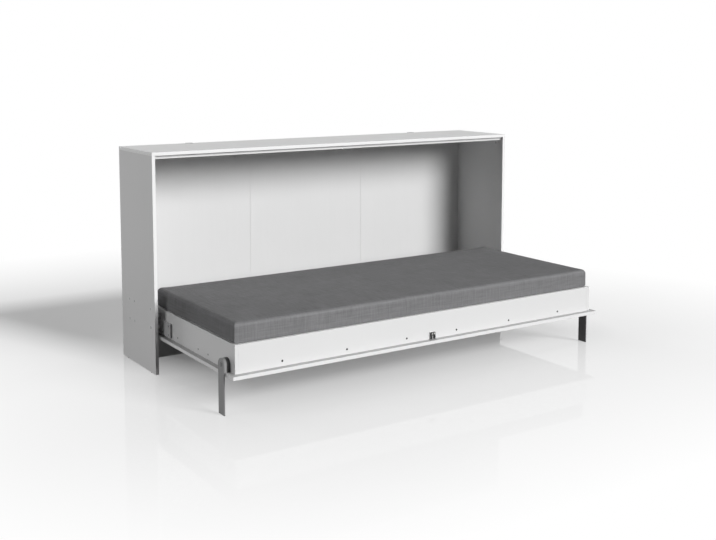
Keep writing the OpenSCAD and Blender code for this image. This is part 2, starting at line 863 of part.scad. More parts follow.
module strike_plate() {
    neck = strike_neck_w / 2;
    head = strike_head_w / 2;
    tip_y = strike_roller_y - roller_r - strike_tip;
    head_y = tip_y + strike_head_l;
    neck_y = head_y + strike_head_l * 2 / 3;
    color("silver") placed() difference() {
        union() {
            slab([-strike_base_w / 2, strike_post_y, stop_rail_z - strike_base_t],
                 [strike_base_w / 2, strike_post_y + strike_base_d, stop_rail_z]);
            slab([-head * 1.5, strike_post_y, strike_tongue_z - strike_tongue_t],
                 [head * 1.5, strike_post_y + strike_post_t, stop_rail_z - strike_base_t]);
            translate([0, 0, strike_tongue_z - strike_tongue_t]) linear_extrude(strike_tongue_t) polygon([
                [neck, strike_post_y + 1], [neck, neck_y], [head, head_y], [head * 0.3, tip_y],
                [-head * 0.3, tip_y], [-head, head_y], [-neck, neck_y], [-neck, strike_post_y + 1]
            ]);
        }
        at_strike_screws() screw_room(strike_screw_l);
    }
}

// Springs, two on a side between a yoke on the cabinet and a yoke on the bed bracket

module along_springs() {
    translate([spring_x, anchor_y, anchor_z]) rotate([-spring_tilt, 0, 0]) children();
}

module yoke(from_y, to_y, pin_y) {
    difference() {
        side_profile(-yoke_t / 2, yoke_t / 2)
            rounded_outline([from_y, -yoke_h / 2], [to_y, yoke_h / 2], yoke_corner_r);
        rod_x(hook_pin_r + run_fit, -yoke_t, yoke_t, pin_y, 0);
    }
}

module rear_yoke() {
    along_springs() yoke(-yoke_reach, yoke_tail, 0);
}

module front_yoke() {
    along_springs() yoke(-spring_len - yoke_tail, -spring_len + yoke_reach, -spring_len);
}

module spring_pair() {
    along_springs() for (s = [-1, 1]) {
        rod_y(spring_wire_r, -spring_len + yoke_reach, -yoke_reach, 0, s * spring_off);
        rod_y(spring_r, -spring_len + yoke_reach + spring_end, -yoke_reach - spring_end, 0, s * spring_off);
    }
}

module rear_yoke_left() {
    color("dimgray") left_side() rear_yoke();
}

module rear_yoke_right() {
    color("dimgray") right_side() rear_yoke();
}

module front_yoke_left() {
    color("dimgray") left_side() front_yoke();
}

module front_yoke_right() {
    color("dimgray") right_side() front_yoke();
}

module springs_left() {
    color("lightgray") left_side() spring_pair();
}

module springs_right() {
    color("lightgray") right_side() spring_pair();
}

// Bed box

module base_panel() {
    color("white") placed() difference() {
        slab([-panel_x, panel_front_y, under_clear], [panel_x, panel_back_y, base_z]);
        at_front_batten_screws() screw_room(batten_screw_l);
        at_rear_batten_screws() screw_room(batten_screw_l);
    }
}

module front_rail() {
    color("whitesmoke") placed() difference() {
        slab([-frame_in_x, frame_front_y, base_z], [frame_in_x, frame_front_y + board_t, frame_top_z]);
        at_front_rail_screws() screw_room(frame_screw_l);
        at_catch_screws() screw_room(catch_screw_l);
    }
}

module rear_rail() {
    color("whitesmoke") placed() difference() {
        slab([-frame_in_x, frame_back_y - board_t, base_z], [frame_in_x, frame_back_y, frame_top_z]);
        at_rear_rail_screws() screw_room(frame_screw_l);
    }
}

module end_board() {
    difference() {
        slab([frame_in_x, frame_front_y, base_z], [frame_x, frame_back_y, frame_top_z]);
        at_end_screws() screw_room(frame_screw_l);
        at_bracket_screws() screw_room(screw_head_t + bracket_d + fitting_screw_bite);
        at_leg_screws() screw_room(leg_block_x - frame_x + fitting_screw_bite);
    }
}

module end_board_left() {
    color("gainsboro") left_side() end_board();
}

module end_board_right() {
    color("gainsboro") right_side() end_board();
}

module batten_front() {
    color("tan") placed() difference() {
        slab([-frame_in_x, frame_front_y + board_t, base_z],
             [frame_in_x, frame_front_y + board_t + batten_w, slat_z]);
        at_front_rail_screws() screw_room(frame_screw_l);
        at_front_batten_screws() screw_room(batten_screw_l);
    }
}

module batten_rear() {
    color("tan") placed() difference() {
        slab([-frame_in_x, frame_back_y - board_t - batten_w, base_z],
             [frame_in_x, frame_back_y - board_t, slat_z]);
        at_rear_rail_screws() screw_room(frame_screw_l);
        at_rear_batten_screws() screw_room(batten_screw_l);
    }
}

module end_battens() {
    color("tan") both_sides() difference() {
        slab([frame_in_x - batten_w, frame_front_y + board_t + batten_w, base_z],
             [frame_in_x, frame_back_y - board_t - batten_w, slat_z]);
        at_end_screws() screw_room(frame_screw_l);
    }
}

module centre_beam() {
    color("tan") placed()
        slab([-frame_in_x + batten_w, mattress_y - batten_w / 2, base_z],
             [frame_in_x - batten_w, mattress_y + batten_w / 2, slat_z]);
}

slat_pitch = 2 * frame_in_x / slat_count;

module slats() {
    color("wheat") placed() for (i = [0:slat_count - 1])
        translate([-frame_in_x + (i + 0.5) * slat_pitch, 0, 0])
            slab([-slat_w / 2, frame_front_y + board_t + slat_gap, slat_z],
                 [slat_w / 2, frame_back_y - board_t - slat_gap, slat_top_z]);
}

module slat_tapes() {
    reach = frame_in_x - slat_pitch / 2 + slat_w / 2;
    color("lightgray") placed() for (s = [-1, 1])
        slab([-reach, mattress_y + s * tape_off - tape_w / 2, slat_top_z],
             [reach, mattress_y + s * tape_off + tape_w / 2, slat_top_z + tape_t]);
}

module frame_screws() {
    color("dimgray") {
        placed() {
            at_front_rail_screws() screw(frame_screw_l);
            at_rear_rail_screws() screw(frame_screw_l);
        }
        both_sides() at_end_screws() screw(frame_screw_l);
    }
}

module batten_screws() {
    color("silver") placed() {
        at_front_batten_screws() screw(batten_screw_l);
        at_rear_batten_screws() screw(batten_screw_l);
    }
}

// Hinge, on the bed

module hinge_bracket() {
    low = pivot_z - bracket_low;
    high = low + bracket_h;
    front = pivot_y - bracket_front;
    back = pivot_y + bracket_back;
    difference() {
        union() {
            slab([bracket_x - bracket_t, front, low], [bracket_x, back, high]);
            slab([frame_x, front, low], [bracket_x, back, low + bracket_t]);
            slab([frame_x, front, high - bracket_t], [bracket_x, back, high]);
            side_profile(bracket_x - bracket_t, bracket_x)
                rounded_outline([hook_y - tab_w / 2, pivot_z], [hook_y + tab_w / 2, hook_z + tab_over],
                                tab_corner_r);
        }
        rod_x(pin_r + run_fit, frame_x, bracket_x + eps, pivot_y, pivot_z);
        rod_x(hook_pin_r - 1 + hole_fit, frame_x + bracket_t, bracket_x + eps, hook_y, hook_z);
        at_bracket_screws() screw_room(screw_head_t + bracket_d + fitting_screw_bite);
    }
}

module hinge_bracket_left() {
    color("darkgray") left_side() hinge_bracket();
}

module hinge_bracket_right() {
    color("darkgray") right_side() hinge_bracket();
}

module fitting_screws() {
    color("dimgray") both_sides() {
        at_bracket_screws() screw(screw_head_t + bracket_d + fitting_screw_bite);
        at_leg_screws() screw(leg_block_x - frame_x + fitting_screw_bite);
    }
}

module spring_pins() {
    color("gray") both_sides() translate([0, hook_y, hook_z]) union() {
        rod_x(hook_pin_r - 1, bracket_x - bracket_t, bracket_x, 0, 0);
        rod_x(hook_collar_r, bracket_x, spring_x - yoke_t / 2 - spacer_gap, 0, 0);
        rod_x(hook_pin_r, bracket_x, spring_x + hook_tail, 0, 0);
    }
}

// Legs

module leg_outline(foot_z) {
    translate([leg_y - leg_w / 2, foot_z]) square([leg_w, leg_z - foot_z]);
    translate([leg_y, leg_z]) circle(leg_w / 2);
}

module leg_block() {
    difference() {
        side_profile(frame_x, leg_block_x) leg_outline(base_z);
        rod_x(leg_pin_r + hole_fit, leg_block_x - leg_pin_in, leg_block_x + eps, leg_y, leg_z);
        at_leg_screws() screw_room(leg_block_x - frame_x + fitting_screw_bite);
    }
}

module leg_block_left() {
    color("gray") left_side() leg_block();
}

module leg_block_right() {
    color("gray") right_side() leg_block();
}

module leg_pins() {
    color("gray") both_sides() translate([0, leg_y, leg_z]) union() {
        rod_x(leg_pin_r, leg_block_x - leg_pin_in, leg_x + leg_t + soft_gap, 0, 0);
        rod_x(leg_head_r, leg_x + leg_t + soft_gap, leg_x + leg_t + soft_gap + leg_head_t, 0, 0);
    }
}

module leg() {
    difference() {
        side_profile(leg_x, leg_x + leg_t) leg_outline(0);
        rod_x(leg_pin_r + run_fit, leg_x - eps, leg_x + leg_t + eps, leg_y, leg_z);
    }
}

module leg_left() {
    color("dimgray") left_side() leg();
}

module leg_right() {
    color("dimgray") right_side() leg();
}

// Catch on the front rail

module catch_base() {
    half = arm_pitch / 2 + arm_w / 2 + catch_base_rim;
    color("black") placed() difference() {
        front_profile(frame_front_y, frame_front_y - catch_base_t)
            rounded_outline([-half, base_z + eps], [half, arm_z1 + 1], catch_base_r);
        at_catch_screws() screw_room(catch_screw_l);
        for (s = [-1, 1])
            rod_y(arm_pin_r + hole_fit, frame_front_y - catch_base_t - eps, frame_front_y + eps,
                  s * arm_pitch / 2, arm_pin_z);
    }
}

module catch_pins() {
    color("gray") placed() for (s = [-1, 1])
        rod_y(arm_pin_r, arm_y1 - 0.5, frame_front_y, s * arm_pitch / 2, arm_pin_z);
}

module catch_screws() {
    color("silver") placed() at_catch_screws() screw(catch_screw_l);
}

module catch_arm() {
    difference() {
        front_profile(arm_y0, arm_y1) union() {
            translate([arm_pitch / 2 - arm_w / 2, arm_pin_z]) square([arm_w, arm_h - arm_w]);
            translate([arm_pitch / 2, arm_pin_z]) circle(arm_w / 2);
            translate([arm_pitch / 2, arm_z1 - arm_w / 2]) circle(arm_w / 2);
        }
        rod_y(arm_pin_r + run_fit, arm_y1 - eps, arm_y0 + eps, arm_pitch / 2, arm_pin_z);
        rod_y(roller_r + 0.3, roller_y - roller_l / 2 - 0.3, roller_y + roller_l / 2 + 0.3, roller_x, roller_z);
        rod_y(1 + run_fit, arm_y1 - eps, arm_y0 + eps, roller_x, roller_z);
    }
}

module catch_arm_left() {
    color("black") left_side() catch_arm();
}

module catch_arm_right() {
    color("black") right_side() catch_arm();
}

module catch_roller() {
    rod_y(roller_r, roller_y - roller_l / 2, roller_y + roller_l / 2, roller_x, roller_z);
    rod_y(1, arm_y1 + 0.3, arm_y0 - 0.3, roller_x, roller_z);
}

module catch_roller_left() {
    color("dimgray") left_side() catch_roller();
}

module catch_roller_right() {
    color("dimgray") right_side() catch_roller();
}

// Mattress: a crowned form that fits between the boards and swells out above them

// One level outline, its sides drawn in midway between round corners
function level(inset, z, pull) =
    let (hx = mattress_l / 2 - inset, hy = mattress_w / 2 - inset, r = min(mattress_corner_r, hy * 0.9))
    [for (q = [0:3])
        let (a = q % 2 == 0 ? hx : hy, b = q % 2 == 0 ? hy : hx)
        for (k = [0:side_count + corner_count - 1])
            let (
                t = 2 * k / side_count - 1,
                w = 90 * (k - side_count) / corner_count,
                p = k < side_count
                    ? [a - pull * (1 - t * t), (b - r) * t]
                    : [a - r + r * cos(w), b - r + r * sin(w)]
            )
            [p[0] * cos(90 * q) - p[1] * sin(90 * q), p[0] * sin(90 * q) + p[1] * cos(90 * q), z]
    ];

ledge_z = frame_top_z + soft_gap;
edge_z = mattress_top_z - mattress_edge_r;
mattress_levels = concat(
    [[mattress_foot_in, mattress_z, 0], [mattress_foot_in * 0.12, mattress_z + mattress_foot_h * 0.35, 0],
     [0, mattress_z + mattress_foot_h, 0], [0, ledge_z, 0],
     [-mattress_swell * 0.77, ledge_z + soft_gap, mattress_draw],
     [-mattress_swell, ledge_z + mattress_lip_h, mattress_draw]],
    [for (i = [0:edge_steps])
        let (w = 90 * i / edge_steps)
        [mattress_edge_r * (1 - cos(w)) - mattress_swell, edge_z + mattress_edge_r * sin(w), mattress_draw]],
    [for (i = [1:crown_steps])
        let (u = 1 - i / (crown_steps + 0.3), start = mattress_edge_r - mattress_swell)
        [start + (mattress_w / 2 - start) * (1 - u), mattress_top_z + mattress_crown * (1 - u * u), 0]]
);

module mattress() {
    n = 4 * (side_count + corner_count);
    m = len(mattress_levels);
    points = [for (l = mattress_levels) each level(l[0], l[1], l[2])];
    walls = [for (j = [0:m - 2]) for (i = [0:n - 1])
        let (a = j * n + i, b = j * n + (i + 1) % n)
        each [[a, a + n, b], [b, a + n, b + n]]];
    caps = [for (i = [0:n - 1])
        let (b = (i + 1) % n, top = (m - 1) * n)
        each [[m * n, i, b], [m * n + 1, top + b, top + i]]];
    middles = [[0, 0, mattress_z], [0, 0, mattress_top_z + mattress_crown]];
    color("dimgray") placed() translate([0, mattress_y, 0])
        polyhedron(concat(points, middles), concat(walls, caps), convexity = 4);
}

side_panel_left();
side_panel_right();
top_panel();
stop_rail();
back_panel_left();
back_panel_centre();
back_panel_right();
back_joint_strips();
lower_cross_board();
lower_rear_rail();
cabinet_dowels();
cam_discs();
cam_bolts();
cabinet_screws();
floor_glides();
wall_brackets();
hinge_plate_left();
hinge_plate_right();
plate_bolts();
hinge_pins();
hinge_spacers();
hinge_rings();
spring_anchors();
strike_plate();
rear_yoke_left();
rear_yoke_right();
front_yoke_left();
front_yoke_right();
springs_left();
springs_right();
base_panel();
front_rail();
rear_rail();
end_board_left();
end_board_right();
batten_front();
batten_rear();
end_battens();
centre_beam();
slats();
slat_tapes();
frame_screws();
batten_screws();
hinge_bracket_left();
hinge_bracket_right();
fitting_screws();
spring_pins();
leg_block_left();
leg_block_right();
leg_pins();
leg_left();
leg_right();
catch_base();
catch_pins();
catch_screws();
catch_arm_left();
catch_arm_right();
catch_roller_left();
catch_roller_right();
mattress();
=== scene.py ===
"""Looks of a wall bed that folds down sideways from a low white cabinet, shown with the bed down."""

import json
import logging
import math
from dataclasses import dataclass
from enum import Enum
from typing import Sequence

import bmesh
import bpy
from mathutils import Matrix, Vector

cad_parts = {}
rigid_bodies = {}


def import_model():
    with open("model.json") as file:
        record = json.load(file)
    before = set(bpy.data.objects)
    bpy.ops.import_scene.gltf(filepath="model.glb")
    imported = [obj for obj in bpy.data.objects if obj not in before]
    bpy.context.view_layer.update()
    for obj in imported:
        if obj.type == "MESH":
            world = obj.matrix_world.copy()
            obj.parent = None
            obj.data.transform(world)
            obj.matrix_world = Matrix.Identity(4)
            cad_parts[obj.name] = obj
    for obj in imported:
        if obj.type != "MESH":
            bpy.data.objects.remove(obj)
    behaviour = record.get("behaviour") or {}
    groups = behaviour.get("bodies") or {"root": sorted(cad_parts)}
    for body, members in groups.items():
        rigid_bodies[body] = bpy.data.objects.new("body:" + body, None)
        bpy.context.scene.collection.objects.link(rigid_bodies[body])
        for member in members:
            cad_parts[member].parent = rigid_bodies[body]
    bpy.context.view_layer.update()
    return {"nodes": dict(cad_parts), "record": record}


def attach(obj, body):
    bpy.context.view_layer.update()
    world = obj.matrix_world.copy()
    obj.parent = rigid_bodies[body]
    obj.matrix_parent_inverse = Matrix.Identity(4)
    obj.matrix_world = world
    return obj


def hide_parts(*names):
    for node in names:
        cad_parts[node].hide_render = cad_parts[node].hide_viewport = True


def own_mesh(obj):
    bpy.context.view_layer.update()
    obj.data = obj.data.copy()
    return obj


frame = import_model()

LOG = logging.getLogger("wall_bed")
FRONT_Y = 169.5
"""Depth of the cabinet's front in the shared frame, in millimetres."""

FACING = 0.7
"""How much of a face's normal lies along an axis, at the least, where the face looks that way."""

FULL_TURN = 6.283
"""The largest turn of a fastener, in radians."""

CREASE_DEG = 35.0
"""The angle past which the edges of boards, fittings and slats stay sharp, in degrees."""

WHITE = (1.0, 1.0, 1.0, 1.0)
ACROSS, UP, DOWN = Vector((1.0, 0.0, 0.0)), Vector((0.0, 0.0, 1.0)), Vector((0.0, 0.0, -1.0))
FORWARD, BACKWARD = Vector((0.0, -1.0, 0.0)), Vector((0.0, 1.0, 0.0))


def at(x: float, y: float, z: float) -> Vector:
    """A point given in millimetres, with Y from the cabinet's front, as metres in the shared frame."""
    return Vector((x, y + FRONT_Y, z)) / 1000.0


class Side(Enum):
    """The two ends of the bed."""

    LEFT = -1
    RIGHT = 1

    @property
    def word(self) -> str:
        """The side's name as the nodes spell it."""
        return self.name.lower()

    @property
    def out(self) -> Vector:
        """The way out of the bed at this end."""
        return ACROSS * self.value


class Recess(Enum):
    """The drive cut into a fastener's head."""

    CROSS = "cross"
    HEX = "hex"


class Grain(Enum):
    """The axis that a board's wood grain follows."""

    X = 0
    Y = 1
    Z = 2


# Node trees


class Network:
    """A node tree that code fills: a material's, the world's or a Geometry Nodes group's."""

    def __init__(self, tree: bpy.types.NodeTree) -> None:
        """Takes a tree and empties it."""
        self.tree = tree
        tree.nodes.clear()

    def make(self, kind: str, settings: dict | None = None, inputs: dict | None = None) -> bpy.types.Node:
        """Adds a node.

        Args:
            kind: the node's type.
            settings: properties, set first; the key "stops" fills a ramp with (place, grey) pairs.
            inputs: values, sockets or Wires by the input's name or number.

        Returns:
            The new node.
        """
        node = self.tree.nodes.new(kind)
        for key, value in (settings or {}).items():
            if key == "stops":
                ramp = node.color_ramp
                while len(ramp.elements) < len(value):
                    ramp.elements.new(0.5)
                for element, (place, grey) in zip(ramp.elements, value):
                    element.position = place
                    element.color = (grey, grey, grey, 1.0)
            else:
                setattr(node, key, value)
        for key, value in (inputs or {}).items():
            self.feed(node.inputs[key], value)
        return node

    def feed(self, socket: bpy.types.NodeSocket, value: object) -> None:
        """Gives a socket a value or a link.

        Args:
            socket: the input to fill.
            value: a Wire, a socket or a plain value.
        """
        value = value.socket if isinstance(value, Wire) else value
        if isinstance(value, bpy.types.NodeSocket):
            self.tree.links.new(value, socket)
        else:
            socket.default_value = value

    def wire(self, kind: str, settings: dict | None = None, inputs: dict | None = None,
             output: int | str = 0) -> "Wire":
        """Adds a node as make does, and wraps its output of the given name or number."""
        return Wire(self, self.make(kind, settings, inputs).outputs[output])

    def split(self, vector: "Wire") -> list["Wire"]:
        """The X, Y and Z of a vector."""
        return [Wire(self, out) for out in self.make("ShaderNodeSeparateXYZ", {}, {0: vector}).outputs]

    def span(self, value: "Wire", high: float, start: object, end: object, low: float = 0.0) -> "Wire":
        """The value mapped from between low and high to between start and end, and kept there."""
        return self.wire("ShaderNodeMapRange", {}, {"Value": value, "From Min": low, "From Max": high,
                                                    "To Min": start, "To Max": end})


class Graph(Network):
    """One material's nodes around a Principled shader."""

    def __init__(self, name: str) -> None:
        """Starts a material.

        Args:
            name: the material's name.
        """
        self.material = bpy.data.materials.new(name)
        self.material.use_nodes = True
        super().__init__(self.material.node_tree)
        self.shader = self.make("ShaderNodeBsdfPrincipled")
        self.output = self.make("ShaderNodeOutputMaterial", {}, {0: self.shader.outputs[0]})

    def place(self, scale: Sequence[float] = (1.0, 1.0, 1.0), source: "Wire | None" = None) -> "Wire":
        """Object coordinates, or others, times a factor on each axis."""
        source = source or self.wire("ShaderNodeTexCoord", output="Object")
        return self.wire("ShaderNodeMapping", {}, {"Vector": source, "Scale": scale})

    def noise(self, where: "Wire", scale: float, detail: float = 2.0, rough: float = 0.5,
              spread: float = 0.0) -> "Wire":
        """Noise between 0 and 1.

        Args:
            where: the coordinates.
            scale: waves per metre.
            detail: how many finer layers.
            rough: strength of the finer layers.
            spread: how far the pattern warps itself.

        Returns:
            The noise's value.
        """
        return self.wire("ShaderNodeTexNoise", {}, {"Vector": where, "Scale": scale, "Detail": detail,
                                                    "Roughness": rough, "Distortion": spread})

    def tint(self, factor: "Wire", low: Sequence[float], high: Sequence[float]) -> bpy.types.NodeSocket:
        """A colour between low, where the factor is 0, and high, where it is 1."""
        return self.make("ShaderNodeMix", {"data_type": "RGBA"},
                         {0: factor, 6: (*low, 1.0), 7: (*high, 1.0)}).outputs[2]

    def grey(self, factor: "Wire", tone: float, low: float, high: float) -> bpy.types.NodeSocket:
        """A grey between low and high times a tone."""
        return self.tint(factor, [tone * low] * 3, [tone * high] * 3)

    def dress(self, colour: bpy.types.NodeSocket, rough: "Wire", height: "Wire", strength: float,
              depth: float) -> None:
        """Feeds the shader's colour, roughness and normal.

        Args:
            colour: the base colour.
            rough: the roughness, kept between 0 and 1.
            height: the bumps' height, about 0 to 1.
            strength: how much of the bumps shows.
            depth: the bumps' full size in metres.
        """
        bump = self.wire("ShaderNodeBump", {}, {"Strength": strength, "Distance": depth, "Height": height})
        for name, value in (("Base Color", colour), ("Roughness", rough.clamp()), ("Normal", bump)):
            self.feed(self.shader.inputs[name], value)

    def hold(self, **values: float) -> None:
        """Sets constants on the shader, with _ for a space in a socket's name."""
        for name, value in values.items():
            self.shader.inputs[name.replace("_", " ")].default_value = value


class Wire:
    """A number's socket whose operators add Math nodes."""

    def __init__(self, graph: Network, socket: bpy.types.NodeSocket) -> None:
        """Wraps an output socket of a tree."""
        self.graph = graph
        self.socket = socket

    def math(self, operation: str, *others: object, flip: bool = False) -> "Wire":
        """Adds a Math node.

        Args:
            operation: the node's operation.
            others: the other operands.
            flip: puts this value last.

        Returns:
            The result.
        """
        operands = [self, *others]
        if flip:
            operands.reverse()
        return self.graph.wire("ShaderNodeMath", {"operation": operation}, dict(enumerate(operands)))

    def __add__(self, other: object) -> "Wire":
        """Sum."""
        return self.math("ADD", other)

    __radd__ = __add__

    def __mul__(self, other: object) -> "Wire":
        """Product."""
        return self.math("MULTIPLY", other)

    __rmul__ = __mul__

    def __sub__(self, other: object) -> "Wire":
        """Difference."""
        return self.math("SUBTRACT", other)

    def __rsub__(self, other: object) -> "Wire":
        """Difference with this value taken away."""
        return self.math("SUBTRACT", other, flip=True)

    def clamp(self) -> "Wire":
        """The value kept between 0 and 1."""
        return self.graph.wire("ShaderNodeClamp", {}, {"Value": self})

    def ramp(self, *stops: tuple[float, float]) -> "Wire":
        """The value sent through a grey ramp of (place, grey) stops."""
        return self.graph.wire("ShaderNodeValToRGB", {"stops": stops}, {"Fac": self})


# Finishes


class Finish:
    """What all finishes share: each one names its material and adds its nodes."""

    name: str

    def nodes(self, g: Graph) -> None:
        """Adds the finish's nodes to its material's graph."""
        raise NotImplementedError

    def build(self) -> bpy.types.Material:
        """Builds the material.

        Returns:
            The material.
        """
        g = Graph(self.name)
        self.nodes(g)
        return g.material


@dataclass(frozen=True)
class FacedBoard(Finish):
    """Chipboard faced with white melamine: a faint pearl grain and a low sheen."""

    name: str = "faced_board"
    tone: float = 0.75
    sheen: float = 0.44
    grain: float = 0.04

    def nodes(self, g: Graph) -> None:
        """Clouds the tone and grains the face.

        Args:
            g: the material's graph.
        """
        where = g.place()
        broad = g.noise(where, 3.0)
        cloud = g.noise(where, 26.0, 3.0, 0.55)
        pearl = g.noise(where, 950.0, 2.0, 0.6)
        g.hold(Specular_IOR_Level=0.45)
        g.dress(g.grey((broad * 0.6 + cloud * 0.4).clamp(), self.tone, 0.975, 1.02),
                cloud * 0.08 + pearl * 0.05 + (self.sheen - 0.065), pearl, self.grain, 0.00006)


@dataclass(frozen=True)
class EdgeBand(Finish):
    """Thin plastic banding on a board's edges, a little smoother than its faces."""

    name: str = "edge_band"
    tone: float = 0.88

    def nodes(self, g: Graph) -> None:
        """Adds a fine, faint unevenness.

        Args:
            g: the material's graph.
        """
        fine = g.noise(g.place(), 160.0)
        g.dress(g.grey(fine, self.tone, 0.99, 1.01), fine * 0.04 + 0.26, fine, 0.03, 0.0001)


@dataclass(frozen=True)
class LacqueredSheet(Finish):
    """Thin hardboard with a rolled white lacquer: faint upright roller streaks."""

    name: str = "lacquered_sheet"
    tone: float = 0.69

    def nodes(self, g: Graph) -> None:
        """Streaks the lacquer over the board's fibres.

        Args:
            g: the material's graph.
        """
        streak = g.noise(g.place((1.0, 1.0, 0.04)), 85.0, 2.0, 0.6)
        cloud = g.noise(g.place(), 5.0)
        fibre = g.noise(g.place(), 420.0, 3.0, 0.6)
        g.dress(g.grey((streak * 0.5 + cloud * 0.5).clamp(), self.tone, 0.97, 1.02),
                fibre * 0.12 + 0.46, (fibre * 0.6 + streak * 0.4).clamp(), 0.08, 0.0001)


@dataclass(frozen=True)
class Moulding(Finish):
    """Moulded plastic or rubber with a fine eroded texture."""

    name: str
    colour: tuple[float, float, float]
    rough: float = 0.45
    grain: float = 0.10

    def nodes(self, g: Graph) -> None:
        """Clouds the colour and roughens the skin.

        Args:
            g: the material's graph.
        """
        grain = g.noise(g.place(), 1500.0, 2.0, 0.6)
        cloud = g.noise(g.place(), 30.0)
        g.dress(g.tint(cloud, [c * 0.92 for c in self.colour], [min(1.0, c * 1.08) for c in self.colour]),
                grain * 0.14 + (self.rough - 0.07), grain, self.grain, 0.00012)


@dataclass(frozen=True)
class PlatedSteel(Finish):
    """Zinc-plated or dark steel: soft spangle, fine drawing marks and rubbed patches."""

    name: str
    tone: float
    rough: float = 0.34
    spangle: float = 0.12
    drawn: tuple[float, float, float] = (1.0, 0.08, 1.0)

    def nodes(self, g: Graph) -> None:
        """Adds spangle, drawing marks and rubbed patches.

        Args:
            g: the material's graph.
        """
        cells = g.wire("ShaderNodeTexVoronoi", {}, {"Vector": g.place(), "Scale": 170.0}, "Distance")
        marks = g.noise(g.place(self.drawn), 900.0, 2.0, 0.55)
        rub = g.noise(g.place(), 55.0, 3.0, 0.6)
        low, high = [self.tone * c for c in (0.82, 0.83, 0.85)], [self.tone * c for c in (1.1, 1.1, 1.09)]
        g.hold(Metallic=1.0)
        g.dress(g.tint((cells * self.spangle * 4.0 + rub * 0.6).clamp(), low, high),
                rub * 0.16 + marks * 0.08 + (self.rough - 0.1), (marks * 0.7 + cells * 0.3).clamp(),
                0.06, 0.0001)


@dataclass(frozen=True)
class PowderCoat(Finish):
    """Grey powder coat: a fine pebbled skin with a slightly cloudy tone."""

    name: str
    tone: float
    rough: float = 0.42

    def nodes(self, g: Graph) -> None:
        """Pebbles the skin and clouds its tone.

        Args:
            g: the material's graph.
        """
        pebble = g.noise(g.place(), 1100.0)
        low, high = [self.tone * c for c in (0.9, 0.9, 0.915)], [self.tone * c for c in (1.08, 1.08, 1.09)]
        g.dress(g.tint(g.noise(g.place(), 24.0, 3.0, 0.6), low, high),
                pebble * 0.16 + (self.rough - 0.08), pebble, 0.16, 0.00015)


@dataclass(frozen=True)
class TwoToneCoat(Finish):
    """A coat that is dark near the bed's middle and pale past a distance from it, in millimetres."""

    name: str
    dark: float
    pale: float
    pale_from: float

    def nodes(self, g: Graph) -> None:
        """Parts the two tones by the distance from the middle.

        Args:
            g: the material's graph.
        """
        across = g.split(g.place())[0].math("ABSOLUTE") * 1000.0
        pebble = g.noise(g.place(), 1100.0)
        share = ((across - self.pale_from) * 2.0 + pebble * 0.2).clamp()
        g.dress(g.tint(share, [self.dark] * 3, [self.pale] * 3), pebble * 0.16 + 0.30, pebble, 0.14, 0.00015)


@dataclass(frozen=True)
class PlanedWood(Finish):
    """Planed softwood with long growth lines and open pores, cut differently in each board."""

    name: str
    light: tuple[float, float, float]
    dark: tuple[float, float, float]
    grain: Grain = Grain.X

    def nodes(self, g: Graph) -> None:
        """Draws growth lines and pores along the grain, moved on for each board.

        Args:
            g: the material's graph.
        """
        along = [1.0, 1.0, 1.0]
        along[self.grain.value] = 0.06
        board = g.wire("ShaderNodeAttribute", {"attribute_name": "board_id"}, output="Fac")
        shift = g.wire("ShaderNodeCombineXYZ", {}, {"X": board * 3.7, "Y": board * 1.9, "Z": board})
        moved = g.wire("ShaderNodeVectorMath", {"operation": "ADD"}, {0: g.place(along), 1: shift})
        lines = g.noise(moved, 60.0, 3.0, 0.6, 0.9)
        pores = g.noise(moved, 900.0, 2.0, 0.6)
        tone = lines * 0.8 + pores * 0.25 + board.math("FRACT") * 0.12
        g.dress(g.tint(tone.ramp((0.28, 0.0), (0.52, 0.55), (0.75, 1.0)), self.light, self.dark),
                pores * 0.2 + 0.5, (lines * 0.4 + pores * 0.6).clamp(), 0.15, 0.0002)


@dataclass(frozen=True)
class WovenCover(Finish):
    """The mattress's dark grey cover: a plain weave of slubby yarns, on the cloth's own UV map in metres."""

    name: str = "woven_cover"
    tone: float = 0.190
    yarn_mm: float = 1.5
    slub: float = 0.34

    def nodes(self, g: Graph) -> None:
        """Weaves the yarns, thickens some of them and lightens the cover where the mattress paints a
        highlight along its top edge.

        Args:
            g: the material's graph.
        """
        uv = g.wire("ShaderNodeUVMap", {"uv_map": "cloth"})
        u, v, _ = g.split(uv)
        step = 2.0 * math.pi / (self.yarn_mm * 0.001)
        warp, weft = ((c * step).math("SINE") * 0.5 + 0.5 for c in (u, v))
        over = ((u * (step / 2.0)).math("SINE") * (v * (step / 2.0)).math("SINE")) * 0.5 + 0.5
        weave = (warp * over + weft * (1.0 - over)).clamp()
        slub_u = g.noise(g.place((0.05, 1.0, 1.0), uv), 150.0, 3.0, 0.65)
        slub_v = g.noise(g.place((1.0, 0.07, 1.0), uv), 130.0, 3.0, 0.65)
        soft = g.noise(g.place(), 7.0, 3.0, 0.55)
        slub = (slub_u * 0.5 + slub_v * 0.5).ramp((0.34, 0.0), (0.5, 0.5), (0.66, 1.0))
        # A painted highlight along the rounded top edge, written by the mattress as a point attribute.
        stretch = g.wire("ShaderNodeAttribute", {"attribute_name": "stretch"}, output="Fac")
        shade = (slub * self.slub * 1.3 + weave * 0.30 + soft * 0.22 + stretch * 0.26).clamp()
        low, high = self.tone * 0.66, self.tone * 1.5
        g.hold(Specular_IOR_Level=0.10, Sheen_Weight=0.03, Sheen_Roughness=0.5)
        g.dress(g.tint(shade, [low, low, low * 1.02], [high, high, high * 1.02]),
                weave * 0.1 + 0.86, (weave * 0.62 + slub * 0.38).clamp(), 0.5, 0.0005)


